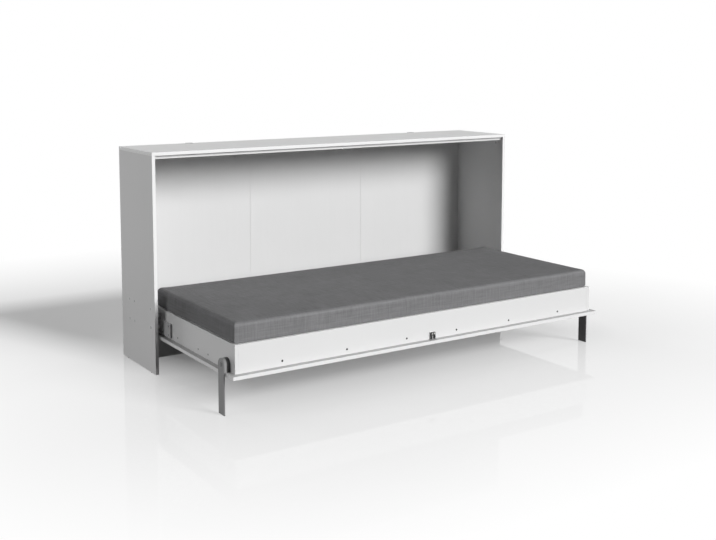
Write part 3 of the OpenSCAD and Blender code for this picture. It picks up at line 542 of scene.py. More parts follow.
@dataclass(frozen=True)
class WovenTape(Finish):
    """Off-white webbing with a ribbed weave across its width."""

    name: str = "woven_tape"

    def nodes(self, g: Graph) -> None:
        """Ribs the webbing.

        Args:
            g: the material's graph.
        """
        ribs = g.wire("ShaderNodeTexWave", {"bands_direction": "X"},
                      {"Vector": g.place(), "Scale": 320.0, "Distortion": 0.4, "Detail": 1.0}, "Fac")
        mix = (ribs * 0.6 + g.noise(g.place(), 60.0) * 0.4).clamp()
        g.dress(g.tint(mix, (0.55, 0.54, 0.5), (0.78, 0.77, 0.73)), ribs * 0.1 + 0.75, ribs, 0.3, 0.0003)


FINISHES: dict[str, Finish] = {
    "board": FacedBoard(),
    # A darker copy of the board for the base panel's upper face: painted shade on the lip's top.
    "inner_face": FacedBoard("inner_face", 0.50, 0.52),
    "band": EdgeBand(),
    # A darker copy of the edge band for the base panel's edges: painted shade on its lip.
    "door_band": EdgeBand("door_band", 0.81),
    "sheet": LacqueredSheet(),
    "white_plastic": Moulding("white_plastic", (0.78, 0.78, 0.77), 0.4),
    "black_plastic": Moulding("black_plastic", (0.018, 0.018, 0.019), 0.42),
    "nylon": Moulding("roller_nylon", (0.62, 0.62, 0.60), 0.35),
    "rubber": Moulding("glide_rubber", (0.09, 0.09, 0.09), 0.6),
    "zinc": PlatedSteel("zinc_plate", 0.56),
    "dark_steel": PlatedSteel("dark_steel", 0.16, 0.4, 0.04),
    "screw_coat": TwoToneCoat("screw_coat", 0.02, 0.24, 1010.0),
    "dull_zinc": PlatedSteel("dull_zinc", 0.47, 0.58, 0.06),
    "bracket_coat": PowderCoat("bracket_coat", 0.50, 0.5),
    # Dark inner half and pale outer strip on the leg blocks: painted shade where a block meets its end board,
    # and a painted highlight on its outer strip.
    "block_coat": TwoToneCoat("block_coat", 0.05, 0.34, 1036.0),
    "casting": PlatedSteel("zinc_casting", 0.5, 0.42, 0.2, (1.0, 1.0, 1.0)),
    "spring": PlatedSteel("spring_wire", 0.52, 0.26, 0.02),
    "coat": PowderCoat("grey_coat", 0.235),
    "dowel": PlanedWood("beech_dowel", (0.62, 0.44, 0.28), (0.45, 0.29, 0.17), Grain.Z),
    "batten": PlanedWood("pine_batten", (0.70, 0.53, 0.33), (0.48, 0.31, 0.16), Grain.X),
    "slat": PlanedWood("slat_wood", (0.74, 0.58, 0.38), (0.52, 0.36, 0.2), Grain.Y),
    "tape": WovenTape(),
    "cover": WovenCover(),
}

Palette = dict[str, bpy.types.Material]
"""The built finishes, by the names above."""


# Meshes


def link(name: str, shape: bmesh.types.BMesh | None = None, mesh: bpy.types.Mesh | None = None,
         finish: bpy.types.Material | None = None) -> bpy.types.Object:
    """Puts a new object in the scene.

    Args:
        name: its name.
        shape: its geometry, which is freed; without it the mesh is used as it is.
        mesh: its mesh, or a new one.
        finish: its finish.

    Returns:
        The object.
    """
    mesh = mesh or bpy.data.meshes.new(name)
    if shape is not None:
        shape.to_mesh(mesh)
        shape.free()
    if finish is not None:
        mesh.materials.append(finish)
    piece = bpy.data.objects.new(name, mesh)
    bpy.context.scene.collection.objects.link(piece)
    return piece


def settle(piece: bpy.types.Object) -> bpy.types.Object:
    """Applies a piece's modifiers by taking its evaluated mesh.

    Args:
        piece: the object with modifiers.

    Returns:
        The same object, with a plain mesh and no modifiers.
    """
    bpy.context.view_layer.update()
    graph = bpy.context.evaluated_depsgraph_get()
    shown = piece.evaluated_get(graph)
    made = bpy.data.meshes.new_from_object(shown, preserve_all_data_layers=True, depsgraph=graph)
    made.name = piece.name
    piece.modifiers.clear()
    piece.data = made
    return piece


def crease(mesh: bpy.types.Mesh, degrees: float) -> None:
    """Smooths a mesh and keeps its edges past an angle sharp."""
    mesh.shade_smooth()
    mesh.set_sharp_from_angle(angle=math.radians(degrees))


def hand_over(piece: bpy.types.Object, node: str) -> bpy.types.Object:
    """Makes a piece stand for a CAD node and ride with its body.

    Args:
        piece: the finished piece.
        node: the CAD node.

    Returns:
        The piece.
    """
    record = frame["record"]
    body = next(b for b, members in record["behaviour"]["bodies"].items() if node in members)
    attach(piece, body)
    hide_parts(node)
    next(s["material_slot"] for s in record["subparts"] if s["node"] == node)
    LOG.info("%s: %d faces, on %s", piece.name, len(piece.data.polygons), body)
    return piece


def round_steps(sides: int) -> list[float]:
    """As many even steps round a circle, in radians."""
    return [2.0 * math.pi * k / sides for k in range(sides)]


def bridge(shape: bmesh.types.BMesh, low: Sequence, high: Sequence) -> None:
    """Joins two closed rings with quads.

    Args:
        shape: the rings' shape.
        low: the vertices of one ring.
        high: as many vertices of the other.
    """
    for k in range(len(low)):
        j = (k + 1) % len(low)
        shape.faces.new((low[k], low[j], high[j], high[k]))


def add_tube(shape: bmesh.types.BMesh, points: Sequence[Vector], radius: float, sides: int) -> None:
    """Adds a round tube with capped ends.

    Args:
        shape: the shape that gets it.
        points: the tube's centre line, in metres.
        radius: its radius.
        sides: how many sides its section has.
    """
    rings = []
    across = None
    for i, point in enumerate(points):
        way = (points[min(i + 1, len(points) - 1)] - points[max(i - 1, 0)]).normalized()
        across = across or way.orthogonal().normalized()
        across = (across - way * across.dot(way)).normalized()
        other = way.cross(across)
        rings.append([shape.verts.new(point + radius * (math.cos(t) * across + math.sin(t) * other))
                      for t in round_steps(sides)])
    for low, high in zip(rings, rings[1:]):
        bridge(shape, low, high)
    shape.faces.new(reversed(rings[0]))
    shape.faces.new(rings[-1])


@dataclass
class Eased:
    """A copy of a CAD node with its doubles merged and its edges eased, so that they catch the light.

    Attributes:
        node: the CAD node.
        finish: its finish.
        ease_mm: how broad the eased edges are.
        segments: the segments across an edge.
        band: the finish of a board's narrow faces, where it is banded; then only its outline is eased.
        thin_axis: the axis across a banded board.
        upper: the finish of its upper face.
        slim: its width and depth as a share of the node's, from its middle and its back.
        sharp_deg: the angle past which an edge is eased.
        same: the distances in metres within which two points are one, an edge runs straight along an axis
            and it lies on the node's box.
    """

    node: str
    finish: bpy.types.Material
    ease_mm: float
    segments: int = 2
    band: bpy.types.Material | None = None
    thin_axis: int = 0
    upper: bpy.types.Material | None = None
    slim: float = 1.0
    sharp_deg: float = 40.0
    same: tuple[float, float, float] = (1e-6, 1e-5, 1e-4)

    def build(self) -> bpy.types.Object:
        """Makes the piece.

        Returns:
            The piece, riding with the node's body.
        """
        mesh = frame["nodes"][self.node].data.copy()
        mesh.materials.clear()
        for finish in filter(None, (self.finish, self.band, self.upper)):
            mesh.materials.append(finish)
        shape = bmesh.new()
        shape.from_mesh(mesh)
        bmesh.ops.remove_doubles(shape, verts=shape.verts, dist=self.same[0])
        bmesh.ops.dissolve_limit(shape, angle_limit=math.radians(1.0), verts=shape.verts, edges=shape.edges)
        low, high = (Vector(pick(v.co[i] for v in shape.verts) for i in range(3)) for pick in (min, max))
        middle = (low.x + high.x) / 2.0
        for vert in shape.verts:
            vert.co.x = middle + (vert.co.x - middle) * self.slim
            vert.co.y = high.y + (vert.co.y - high.y) * self.slim
        self._mark(shape, low, high)
        piece = link(f"{self.node}_eased", shape, mesh)
        mesh.set_sharp_from_angle(angle=math.radians(CREASE_DEG))
        bevel = piece.modifiers.new("ease", "BEVEL")
        bevel.width = self.ease_mm / 1000.0
        bevel.segments = self.segments
        bevel.limit_method = "WEIGHT"
        bevel.use_clamp_overlap = True
        even = piece.modifiers.new("even", "WEIGHTED_NORMAL")
        even.mode = "FACE_AREA"
        even.weight = 50
        even.keep_sharp = True
        return hand_over(settle(piece), self.node)

    def _mark(self, shape: bmesh.types.BMesh, low: Vector, high: Vector) -> None:
        """Marks the edges to ease and gives each face its finish.

        Args:
            shape: the piece's shape.
            low: its lowest corner.
            high: its highest corner.
        """
        weight = shape.edges.layers.float.new("bevel_weight_edge")
        for edge in shape.edges:
            if edge.is_manifold and edge.calc_face_angle(0.0) > math.radians(self.sharp_deg):
                edge[weight] = float(self.band is None or self._on_outline(edge, low, high))
        for face in shape.faces:
            face.smooth = True
            if self.band is not None:
                face.material_index = int(abs(face.normal[self.thin_axis]) <= FACING)
            if self.upper is not None and face.normal.z > FACING:
                face.material_index = 2

    def _on_outline(self, edge: bmesh.types.BMEdge, low: Vector, high: Vector) -> bool:
        """Tells if an edge lies on one of the twelve edges of the shape's box.

        Args:
            edge: the edge.
            low: the shape's lowest corner.
            high: its highest corner.

        Returns:
            True where it does.
        """
        _, straight, close = self.same
        ends = zip(*(v.co for v in edge.verts), low, high)
        held = [abs(a - b) < straight and min(abs(a - lo), abs(a - hi)) < close for a, b, lo, hi in ends]
        return sum(held) >= 2


def dress(palette: Palette, *rows: tuple) -> None:
    """Gives CAD nodes their finishes in order.

    Args:
        palette: the finishes.
        rows: a node and its finish, then the size of its eased edges in millimetres and their segments, if
            they aren't two; without a size the node stays as it is.
    """
    for node, finish, *ease in rows:
        if ease:
            Eased(node, palette[finish], *ease).build()
            continue
        slots = frame["nodes"][node].data.materials
        slots.clear()
        slots.append(palette[finish])
        LOG.info("%s: kept, %s", node, finish)


# Geometry Nodes


class Tree(Network):
    """A Geometry Nodes tree with named inputs."""

    def __init__(self, name: str, **sizes: float | int | None) -> None:
        """Starts a tree.

        Args:
            name: the tree's name.
            sizes: its inputs' defaults, where None stands for an object; each tree also has a finish.
        """
        group = bpy.data.node_groups.new(name, "GeometryNodeTree")
        super().__init__(group)
        group.interface.new_socket("Geometry", in_out="OUTPUT", socket_type="NodeSocketGeometry")
        group.interface.new_socket("Geometry", in_out="INPUT", socket_type="NodeSocketGeometry")
        kinds = {float: "NodeSocketFloat", int: "NodeSocketInt", type(None): "NodeSocketObject"}
        self.ids: dict[str, str] = {}
        for label, default in sizes.items():
            socket = group.interface.new_socket(label, in_out="INPUT", socket_type=kinds[type(default)])
            if default is not None:
                socket.default_value = default
            self.ids[label] = socket.identifier
        finish = group.interface.new_socket("finish", in_out="INPUT", socket_type="NodeSocketMaterial")
        self.ids["finish"] = finish.identifier
        self.given = self.make("NodeGroupInput").outputs

    def close(self, geometry: Wire) -> None:
        """Realizes the instances, sets the finish and ends the tree.

        Args:
            geometry: what the tree has made.
        """
        real = self.wire("GeometryNodeRealizeInstances", {}, {"Geometry": geometry})
        done = self.wire("GeometryNodeSetMaterial", {}, {"Geometry": real, "Material": self.given["finish"]})
        self.make("NodeGroupOutput", {}, {0: done})

    def run(self, piece: bpy.types.Object, **values: object) -> bpy.types.Object:
        """Runs the tree on a piece and keeps the result as its plain mesh.

        Args:
            piece: the object that feeds the tree.
            values: the named inputs' values.

        Returns:
            The piece.
        """
        step = piece.modifiers.new(self.tree.name, "NODES")
        step.node_group = self.tree
        for label, value in values.items():
            step[self.ids[label]] = value
        return settle(piece)


def fastener_tree() -> Tree:
    """A tree that stands a template on each point, faces it outwards and turns it by a seeded amount.

    Returns:
        The tree.
    """
    tree = Tree("fasteners", template=None, size=1.0, turn_seed=3)
    shape = tree.wire("GeometryNodeObjectInfo", {}, {"Object": tree.given["template"]}, "Geometry")
    facing = tree.wire("GeometryNodeInputNamedAttribute", {"data_type": "FLOAT_VECTOR"}, {"Name": "facing"})
    aim = tree.wire("FunctionNodeAlignRotationToVector", {"axis": "Z"}, {"Vector": facing})
    turn = tree.wire("FunctionNodeRandomValue", {"data_type": "FLOAT"},
                     {"Seed": tree.given["turn_seed"], 2: 0.0, 3: FULL_TURN}, 1)
    spin = tree.wire("FunctionNodeAxisAngleToRotation", {}, {"Axis": UP, "Angle": turn})
    both = tree.wire("FunctionNodeRotateRotation", {"rotation_space": "LOCAL"},
                     {"Rotation": aim, "Rotate By": spin})
    tree.close(tree.wire("GeometryNodeInstanceOnPoints", {},
                         {"Points": tree.given["Geometry"], "Instance": shape, "Rotation": both,
                          "Scale": tree.given["size"]}))
    return tree


def coil_tree() -> Tree:
    """A tree that winds a coil from named sizes.

    Returns:
        The tree.
    """
    tree = Tree("coil", turns=40.0, coil_radius=0.008, length=0.2, wire_radius=0.001)
    given = tree.given
    path = tree.wire("GeometryNodeCurveSpiral", {}, {
        "Resolution": 18, "Rotations": given["turns"], "Start Radius": given["coil_radius"],
        "End Radius": given["coil_radius"], "Height": given["length"]})
    ring = tree.wire("GeometryNodeCurvePrimitiveCircle", {},
                     {"Resolution": 8, "Radius": given["wire_radius"]})
    wound = tree.wire("GeometryNodeCurveToMesh", {},
                      {"Curve": path, "Profile Curve": ring, "Fill Caps": True})
    tree.close(tree.wire("GeometryNodeSetShadeSmooth", {}, {"Geometry": wound}))
    return tree


def slat_tree() -> Tree:
    """A tree that lays a row of slats and numbers them.

    Returns:
        The tree.
    """
    tree = Tree("slat_row", count=14, pitch=0.14, slat=None)
    step = tree.wire("ShaderNodeCombineXYZ", {}, {"X": tree.given["pitch"]})
    line = tree.wire("GeometryNodeMeshLine", {"mode": "OFFSET"},
                     {"Count": tree.given["count"], "Offset": step})
    slat = tree.wire("GeometryNodeObjectInfo", {}, {"Object": tree.given["slat"]}, "Geometry")
    row = tree.wire("GeometryNodeInstanceOnPoints", {}, {"Points": line, "Instance": slat})
    tree.close(tree.wire("GeometryNodeStoreNamedAttribute", {"data_type": "FLOAT", "domain": "INSTANCE"},
                         {"Geometry": row, "Name": "board_id", "Value": tree.wire("GeometryNodeInputIndex")}))
    return tree


# Fasteners


@dataclass(frozen=True)
class Head:
    """The template of a fastener's head and shank, along +Z with its top at 0, in millimetres."""

    name: str
    radius: float
    depth: float
    shank: float
    length: float
    recess: Recess = Recess.CROSS
    crown: float = 0.0
    flat: bool = False
    sides: int = 24

    def build(self, finish: bpy.types.Material) -> bpy.types.Object:
        """Makes the template: a turned head with a cut drive.

        Args:
            finish: its material.

        Returns:
            The template object, which the fastener set removes.
        """
        half, depth = self.radius, self.depth
        if self.flat:
            profile = [(half, 0.0), (half, -depth)]
        else:
            profile = [(half * 0.97, 0.0), (half, -0.15), (half * 0.98, -depth * 0.45)]
        profile += [(self.shank, -depth), (self.shank, -self.length * 0.9), (self.shank * 0.4, -self.length)]
        shape = bmesh.new()
        rings = [[shape.verts.new((r * math.cos(a), r * math.sin(a), z)) for a in round_steps(self.sides)]
                 for r, z in profile]
        for low, high in zip(rings[1:], rings):
            bridge(shape, low, high)
        shape.faces.new(reversed(rings[-1]))
        mouth, floor = ([shape.verts.new((x * share, y * share, z)) for x, y in self._outline()]
                        for share, z in ((1.0, self.crown), (0.82, -depth * 0.62)))
        bridge(shape, mouth, floor)
        shape.faces.new(floor)
        rims = [shape.edges.get(pair) for loop in (rings[0], mouth)
                for pair in zip(loop, loop[1:] + loop[:1])]
        bmesh.ops.triangle_fill(shape, use_beauty=True, edges=rims)
        bmesh.ops.recalc_face_normals(shape, faces=shape.faces)
        bmesh.ops.scale(shape, vec=(0.001, 0.001, 0.001), verts=shape.verts)
        piece = link(self.name, shape, finish=finish)
        crease(piece.data, 30.0)
        return piece

    def _outline(self) -> list[tuple[float, float]]:
        """The drive's outline at the top of the head.

        Returns:
            Its corners.
        """
        if self.recess is Recess.HEX:
            size = self.radius * 0.5
            return [(size * math.cos(a), size * math.sin(a)) for a in round_steps(6)]
        long, wide = self.radius * 0.62, self.radius * 0.15
        turns = [(math.cos(a), math.sin(a)) for a in round_steps(4)]
        return [(x * c - y * s, x * s + y * c) for c, s in turns
                for x, y in ((long, -wide), (long, wide), (wide, wide))]


@dataclass
class FastenerSet:
    """Fasteners of one kind on one body, stood on their points by a shared tree."""

    node: str
    head: Head
    places: list[tuple[Vector, Vector]]
    finish: bpy.types.Material
    seed: int

    def build(self, tree: Tree) -> bpy.types.Object:
        """Makes the set.

        Args:
            tree: the tree from fastener_tree.

        Returns:
            The piece that holds every fastener.
        """
        mesh = bpy.data.meshes.new(f"{self.node.rstrip('s')}_set")
        mesh.from_pydata([p for p, _ in self.places], [], [])
        facing = mesh.attributes.new("facing", "FLOAT_VECTOR", "POINT")
        facing.data.foreach_set("vector", [c for _, way in self.places for c in way])
        piece = link(mesh.name, mesh=mesh)
        template = self.head.build(self.finish)
        tree.run(piece, template=template, size=1.0, turn_seed=self.seed, finish=self.finish)
        bpy.data.objects.remove(template)
        return hand_over(piece, self.node)


# Springs


@dataclass
class SpringPair:
    """Two tension springs beside each other, hooked into both yokes of one side.

    Attributes:
        side: the end of the bed.
        finish: their finish.
        anchor: where the rear yoke turns, as depth and height, in millimetres as all that follows.
        hook: where the front yoke turns with the bed down.
        hook_up: the same with the bed up.
        x: how far they lie from the bed's middle.
        apart: how far each lies from the pair's middle line.
        reach: from a yoke's pin to the hook's end.
        coil_end: from there to the coil.
        coil_r: the coil's radius to the middle of the wire.
        wire_r: the wire's radius.
        eye_r: the radius of the hook's eye.
        overlap: how far the hook reaches past coil_end into the yoke.
        turns: the coil's turns.
    """

    side: Side
    finish: bpy.types.Material
    anchor: tuple[float, float] = (305.0, 250.0)
    hook: tuple[float, float] = (53.0, 271.0)
    hook_up: tuple[float, float] = (103.0, 221.0)
    x: float = 1040.0
    apart: float = 11.5
    reach: float = 14.0
    coil_end: float = 16.0
    coil_r: float = 7.8
    wire_r: float = 1.2
    eye_r: float = 4.2
    overlap: float = 4.5
    turns: int = 44

    def build(self) -> bpy.types.Object:
        """Winds both springs and adds their hooks.

        Returns:
            The piece.
        """
        start, end = (at(self.side.value * self.x, *spot) for spot in (self.anchor, self.hook))
        way, span = (end - start).normalized(), (end - start).length
        up = ACROSS.cross(way).normalized()
        body_len = span - 2.0 * (self.reach + self.coil_end) / 1000.0
        coil = coil_tree().run(link("coil_source"), turns=float(self.turns), coil_radius=self.coil_r / 1000.0,
                               length=body_len, wire_radius=self.wire_r / 1000.0, finish=self.finish)
        shape = bmesh.new()
        lie = Matrix((ACROSS, up, way)).transposed().to_4x4()
        for off in (-self.apart, self.apart):
            foot = start + up * off / 1000.0 + way * (self.reach + self.coil_end) / 1000.0
            part = coil.data.copy()
            part.transform(Matrix.Translation(foot) @ lie)
            shape.from_mesh(part)
            bpy.data.meshes.remove(part)
            self._hook(shape, foot, -way)
            self._hook(shape, foot + way * body_len, way)
        bpy.data.objects.remove(coil)
        for face in shape.faces:
            face.smooth = len(face.verts) == 4
        piece = link(f"springs_{self.side.word}_wound", shape, finish=self.finish)
        hand_over(piece, f"springs_{self.side.word}")
        rest = span - 2.0 * self.reach / 1000.0
        closed = math.dist(self.anchor, self.hook_up) / 1000.0 - 2.0 * self.reach / 1000.0
        start + way * self.reach / 1000.0
        closed / rest
        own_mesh(piece)
        return piece

    def _hook(self, shape: bmesh.types.BMesh, foot: Vector, out: Vector) -> None:
        """Adds an end hook: the wire comes in from the coil, runs out and closes in an eye through the yoke.

        Args:
            shape: the shape that gets it.
            foot: the middle of the coil's end.
            out: the way from the coil to the yoke.
        """
        line = [(self.coil_r, 0.0), (self.coil_r * 0.7, 1.5), (2.0, 3.0), (0.0, 5.5)]
        centre = self.coil_end + self.overlap - self.eye_r
        for a in (math.pi * (1.0 + 1.75 * k / 12.0) for k in range(13)):
            line.append((self.eye_r * math.sin(a), centre + self.eye_r * math.cos(a)))
        add_tube(shape, [foot + (ACROSS * s + out * t) / 1000.0 for s, t in line], self.wire_r / 1000.0, 8)


# The cabinet and the hinges


@dataclass
class Cabinet:
    """The open-fronted cabinet that the bed folds into.

    Attributes:
        palette: the finishes.
        wall_pitch: distance between the wall brackets, in millimetres as all that follows.
        stop_screws: the pitch, depth and height of the six stop rail screws.
        strike_screws: the half pitch, depth and height of the strike's two screws.
        wall_screws: the half pitch, depth and height of the two screws in each wall bracket.
    """

    palette: Palette
    wall_pitch: float = 1400.0
    stop_screws: tuple[float, float, float] = (360.0, 29.0, 1021.0)
    strike_screws: tuple[float, float, float] = (10.0, 68.0, 1019.5)
    wall_screws: tuple[float, float, float] = (8.0, 406.25, 1055.2)

    def boards(self) -> None:
        """Dresses the faced boards with banded edges, the backs, and what joins them."""
        for node, thin in (("side_panel_left", 0), ("side_panel_right", 0), ("top_panel", 2),
                           ("lower_cross_board", 1), ("lower_rear_rail", 1)):
            Eased(node, self.palette["board"], 0.7, 3, self.palette["band"], thin).build()
        dress(self.palette, ("stop_rail", "board", 3.0, 3), ("back_panel_left", "sheet"),
              ("back_panel_centre", "sheet"), ("back_panel_right", "sheet"), ("back_joint_strips", "sheet"),
              ("cabinet_dowels", "dowel"), ("cam_discs", "casting"), ("cam_bolts", "zinc"),
              ("floor_glides", "rubber"), ("wall_brackets", "zinc", 0.5), ("strike_plate", "zinc", 0.25))

    def build(self, tree: Tree) -> None:
        """Builds the cabinet's pieces and stands its screws in their holes.

        Args:
            tree: the fasteners' tree.
        """
        self.boards()
        (pitch, *stop), (strike_x, *strike) = self.stop_screws, self.strike_screws
        wall_x, *wall = self.wall_screws
        places = [(at(pitch * (i - 2.5), *stop), DOWN) for i in range(6)]
        places += [(at(strike_x * s, *strike), DOWN) for s in (-1, 1)]
        places += [(at(s * self.wall_pitch / 2 + t * wall_x, *wall), UP) for s in (-1, 1) for t in (-1, 1)]
        head = Head("wood_screw", 3.8, 2.0, 2.0, 14.0)
        FastenerSet("cabinet_screws", head, places, self.palette["zinc"], 5).build(tree)


@dataclass
class Hinges:
    """The hinge fittings of both ends.

    Attributes:
        palette: the finishes.
        plate_x: how far the bolts' heads lie from the bed's middle, in millimetres as all that follows.
        pivot: the hinge pin's depth and height.
        bolts: each bolt's place from the pivot.
    """

    palette: Palette
    plate_x: float = 1070.0
    pivot: tuple[float, float] = (53.0, 221.0)
    bolts: tuple[tuple[float, float], ...] = (
        (0.0, 87.0), (202.0, 87.0), (266.0, 87.0), (202.0, -11.0), (266.0, -11.0))

    def end(self, side: Side) -> None:
        """Builds the plate, bracket, yokes and springs of one end.

        Args:
            side: the end of the bed.
        """
        dress(self.palette, (f"hinge_plate_{side.word}", "zinc", 0.4),
              (f"hinge_bracket_{side.word}", "bracket_coat", 0.9, 3),
              (f"rear_yoke_{side.word}", "dark_steel", 0.6), (f"front_yoke_{side.word}", "dark_steel", 0.6))
        SpringPair(side, self.palette["spring"]).build()

    def fasteners(self, tree: Tree) -> None:
        """Builds the bolts, pins, rings and spacers.

        Args:
            tree: the fasteners' tree.
        """
        places = [(at(s.value * self.plate_x, self.pivot[0] + y, self.pivot[1] + z), s.out)
                  for s in Side for y, z in self.bolts]
        head = Head("plate_bolt", 6.0, 3.0, 3.0, 21.0, Recess.HEX, flat=True)
        FastenerSet("plate_bolts", head, places, self.palette["dull_zinc"], 8).build(tree)
        dress(self.palette, ("hinge_pins", "dull_zinc", 0.4), ("hinge_spacers", "white_plastic", 0.6),
              ("hinge_rings", "dark_steel", 0.2), ("spring_anchors", "dull_zinc", 0.4),
              ("spring_pins", "zinc", 0.4))


# The bed box


@dataclass
class BedBox:
    """The turning box: base panel, rails, end boards, battens and slats.

    Attributes:
        palette: the finishes.
        front: the depth of the frame's front face, in millimetres as all that follows.
        back: the depth of its rear face.
        screw_z: the height of the frame screws.
        rail_screws: their distances from the middle, on the rails.
        end_screws: their distances from the front, on the end boards.
        end_x: how far their heads lie from the middle there.
        batten_screws: the pitch, the distance from the frame's faces and the height of the batten screws.
        bracket_x: how far the hinge brackets' screws lie from the middle.
        bracket_screws: each one's depth and height.
        block_screws: the leg blocks' screws: distance from the middle, depth, half pitch and height.
        slat_count: how many slats there are.
        slat_size: each slat's width, length and thickness.
        slat_round: how far its edges are rounded.
        slat_middle: the depth and height of their middles.
        inner_x: half of the frame's inner length.
    """

    palette: Palette
    front: float = -729.0
    back: float = 111.0
    screw_z: float = 207.0
    rail_screws: tuple[float, ...] = (145.0, 471.0, 797.0)
    end_screws: tuple[float, ...] = (260.0, 361.0, 583.0)
    end_x: float = 1020.0
    batten_screws: tuple[float, float, float] = (300.0, 28.0, 228.0)
    bracket_x: float = 1031.0
    bracket_screws: tuple[tuple[float, float], ...] = (
        (-63.0, 204.0), (-63.0, 245.0), (8.0, 204.0), (93.0, 204.0))
    block_screws: tuple[float, float, float, float] = (1045.7, -659.0, 15.0, 194.0)
    slat_count: int = 14
    slat_size: tuple[float, float, float] = (60.0, 802.0, 18.0)
    slat_round: float = 3.0
    slat_middle: tuple[float, float] = (-309.0, 237.0)
    inner_x: float = 1004.0

    def boards(self) -> None:
        """Dresses the boards, battens and tapes."""
        board, band = self.palette["board"], self.palette["band"]
        # The base panel's darker upper face and darker edge band are painted shade on its lip.
        Eased("base_panel", board, 0.7, 3, self.palette["door_band"], 2, self.palette["inner_face"]).build()
        for node in ("front_rail", "rear_rail"):
            Eased(node, board, 0.7, 3, band, 1).build()
        dress(self.palette, ("end_board_left", "board", 1.3, 3), ("end_board_right", "board", 1.3, 3),
              ("batten_front", "batten", 1.2), ("batten_rear", "batten", 1.2), ("centre_beam", "batten", 1.2),
              ("end_battens", "batten", 1.2), ("slat_tapes", "tape"))

    def slats(self) -> bpy.types.Object:
        """Lays the slats by a tree with named sizes.

        Returns:
            The piece that holds every slat.
        """
        size = Vector(self.slat_size) / 1000.0
        shape = bmesh.new()
        bmesh.ops.create_cube(shape, size=1.0, matrix=Matrix.Diagonal((*size, 1.0)))
        bmesh.ops.bevel(shape, geom=list(shape.edges), offset=self.slat_round / 1000.0, segments=3,
                        profile=0.5, affect="EDGES")
        template = link("slat_template", shape)
        pitch = 2.0 * self.inner_x / self.slat_count
        row = slat_tree().run(link("slat_row"), count=self.slat_count, pitch=pitch / 1000.0, slat=template,
                              finish=self.palette["slat"])
        row.data.transform(Matrix.Translation(at(-self.inner_x + pitch / 2, *self.slat_middle)))
        bpy.data.objects.remove(template)
        crease(row.data, CREASE_DEG)
        return hand_over(row, "slats")

    def screws(self, tree: Tree) -> None:
        """Stands the frame's, battens' and fittings' screws in their holes.

        Args:
            tree: the fasteners' tree.
        """
        frame_places, fitting_places = [], []
        for side in Side:
            for x in self.rail_screws:
                frame_places += [(at(side.value * x, y, self.screw_z), way)
                                 for y, way in ((self.front, FORWARD), (self.back, BACKWARD))]
            frame_places += [(at(side.value * self.end_x, self.front + y, self.screw_z), side.out)
                             for y in self.end_screws]
            fitting_places += [(at(side.value * self.bracket_x, *spot), side.out)
                               for spot in self.bracket_screws]
            x, y, half, z = self.block_screws
            fitting_places += [(at(side.value * x, y + off, z), side.out) for off in (-half, half)]
        pitch, inset, z = self.batten_screws
        batten_places = [(at(pitch * i, y, z), UP) for i in range(-3, 4)
                         for y in (self.front + inset, self.back - inset)]
        for node, head, places, finish, seed in (
                ("frame_screws", Head("frame_screw", 4.9, 2.0, 2.0, 36.0, crown=0.15), frame_places,
                 "screw_coat", 11),
                ("batten_screws", Head("batten_screw", 3.8, 2.0, 2.0, 54.0), batten_places, "zinc", 13),
                ("fitting_screws", Head("fitting_screw", 3.8, 2.0, 2.0, 22.0, crown=0.2), fitting_places,
                 "screw_coat", 17)):
            FastenerSet(node, head, places, self.palette[finish], seed).build(tree)

    def build(self, tree: Tree) -> None:
        """Builds the box's pieces in order.

        Args:
            tree: the fasteners' tree.
        """
        self.boards()
        self.slats()
        self.screws(tree)


@dataclass
class Catch:
    """The sprung catch on the front rail, with arms narrower than their solids by a share."""

    palette: Palette
    slim: float = 0.68

    def build(self) -> None:
        """Builds the catch's pieces."""
        dress(self.palette, ("catch_base", "white_plastic", 0.5))
        for side in Side:
            Eased(f"catch_arm_{side.word}", self.palette["black_plastic"], 0.8, 3, slim=self.slim).build()
        dress(self.palette, ("catch_roller_left", "nylon", 0.3), ("catch_roller_right", "nylon", 0.3),
              ("catch_pins", "zinc"), ("catch_screws", "zinc"))


# The mattress


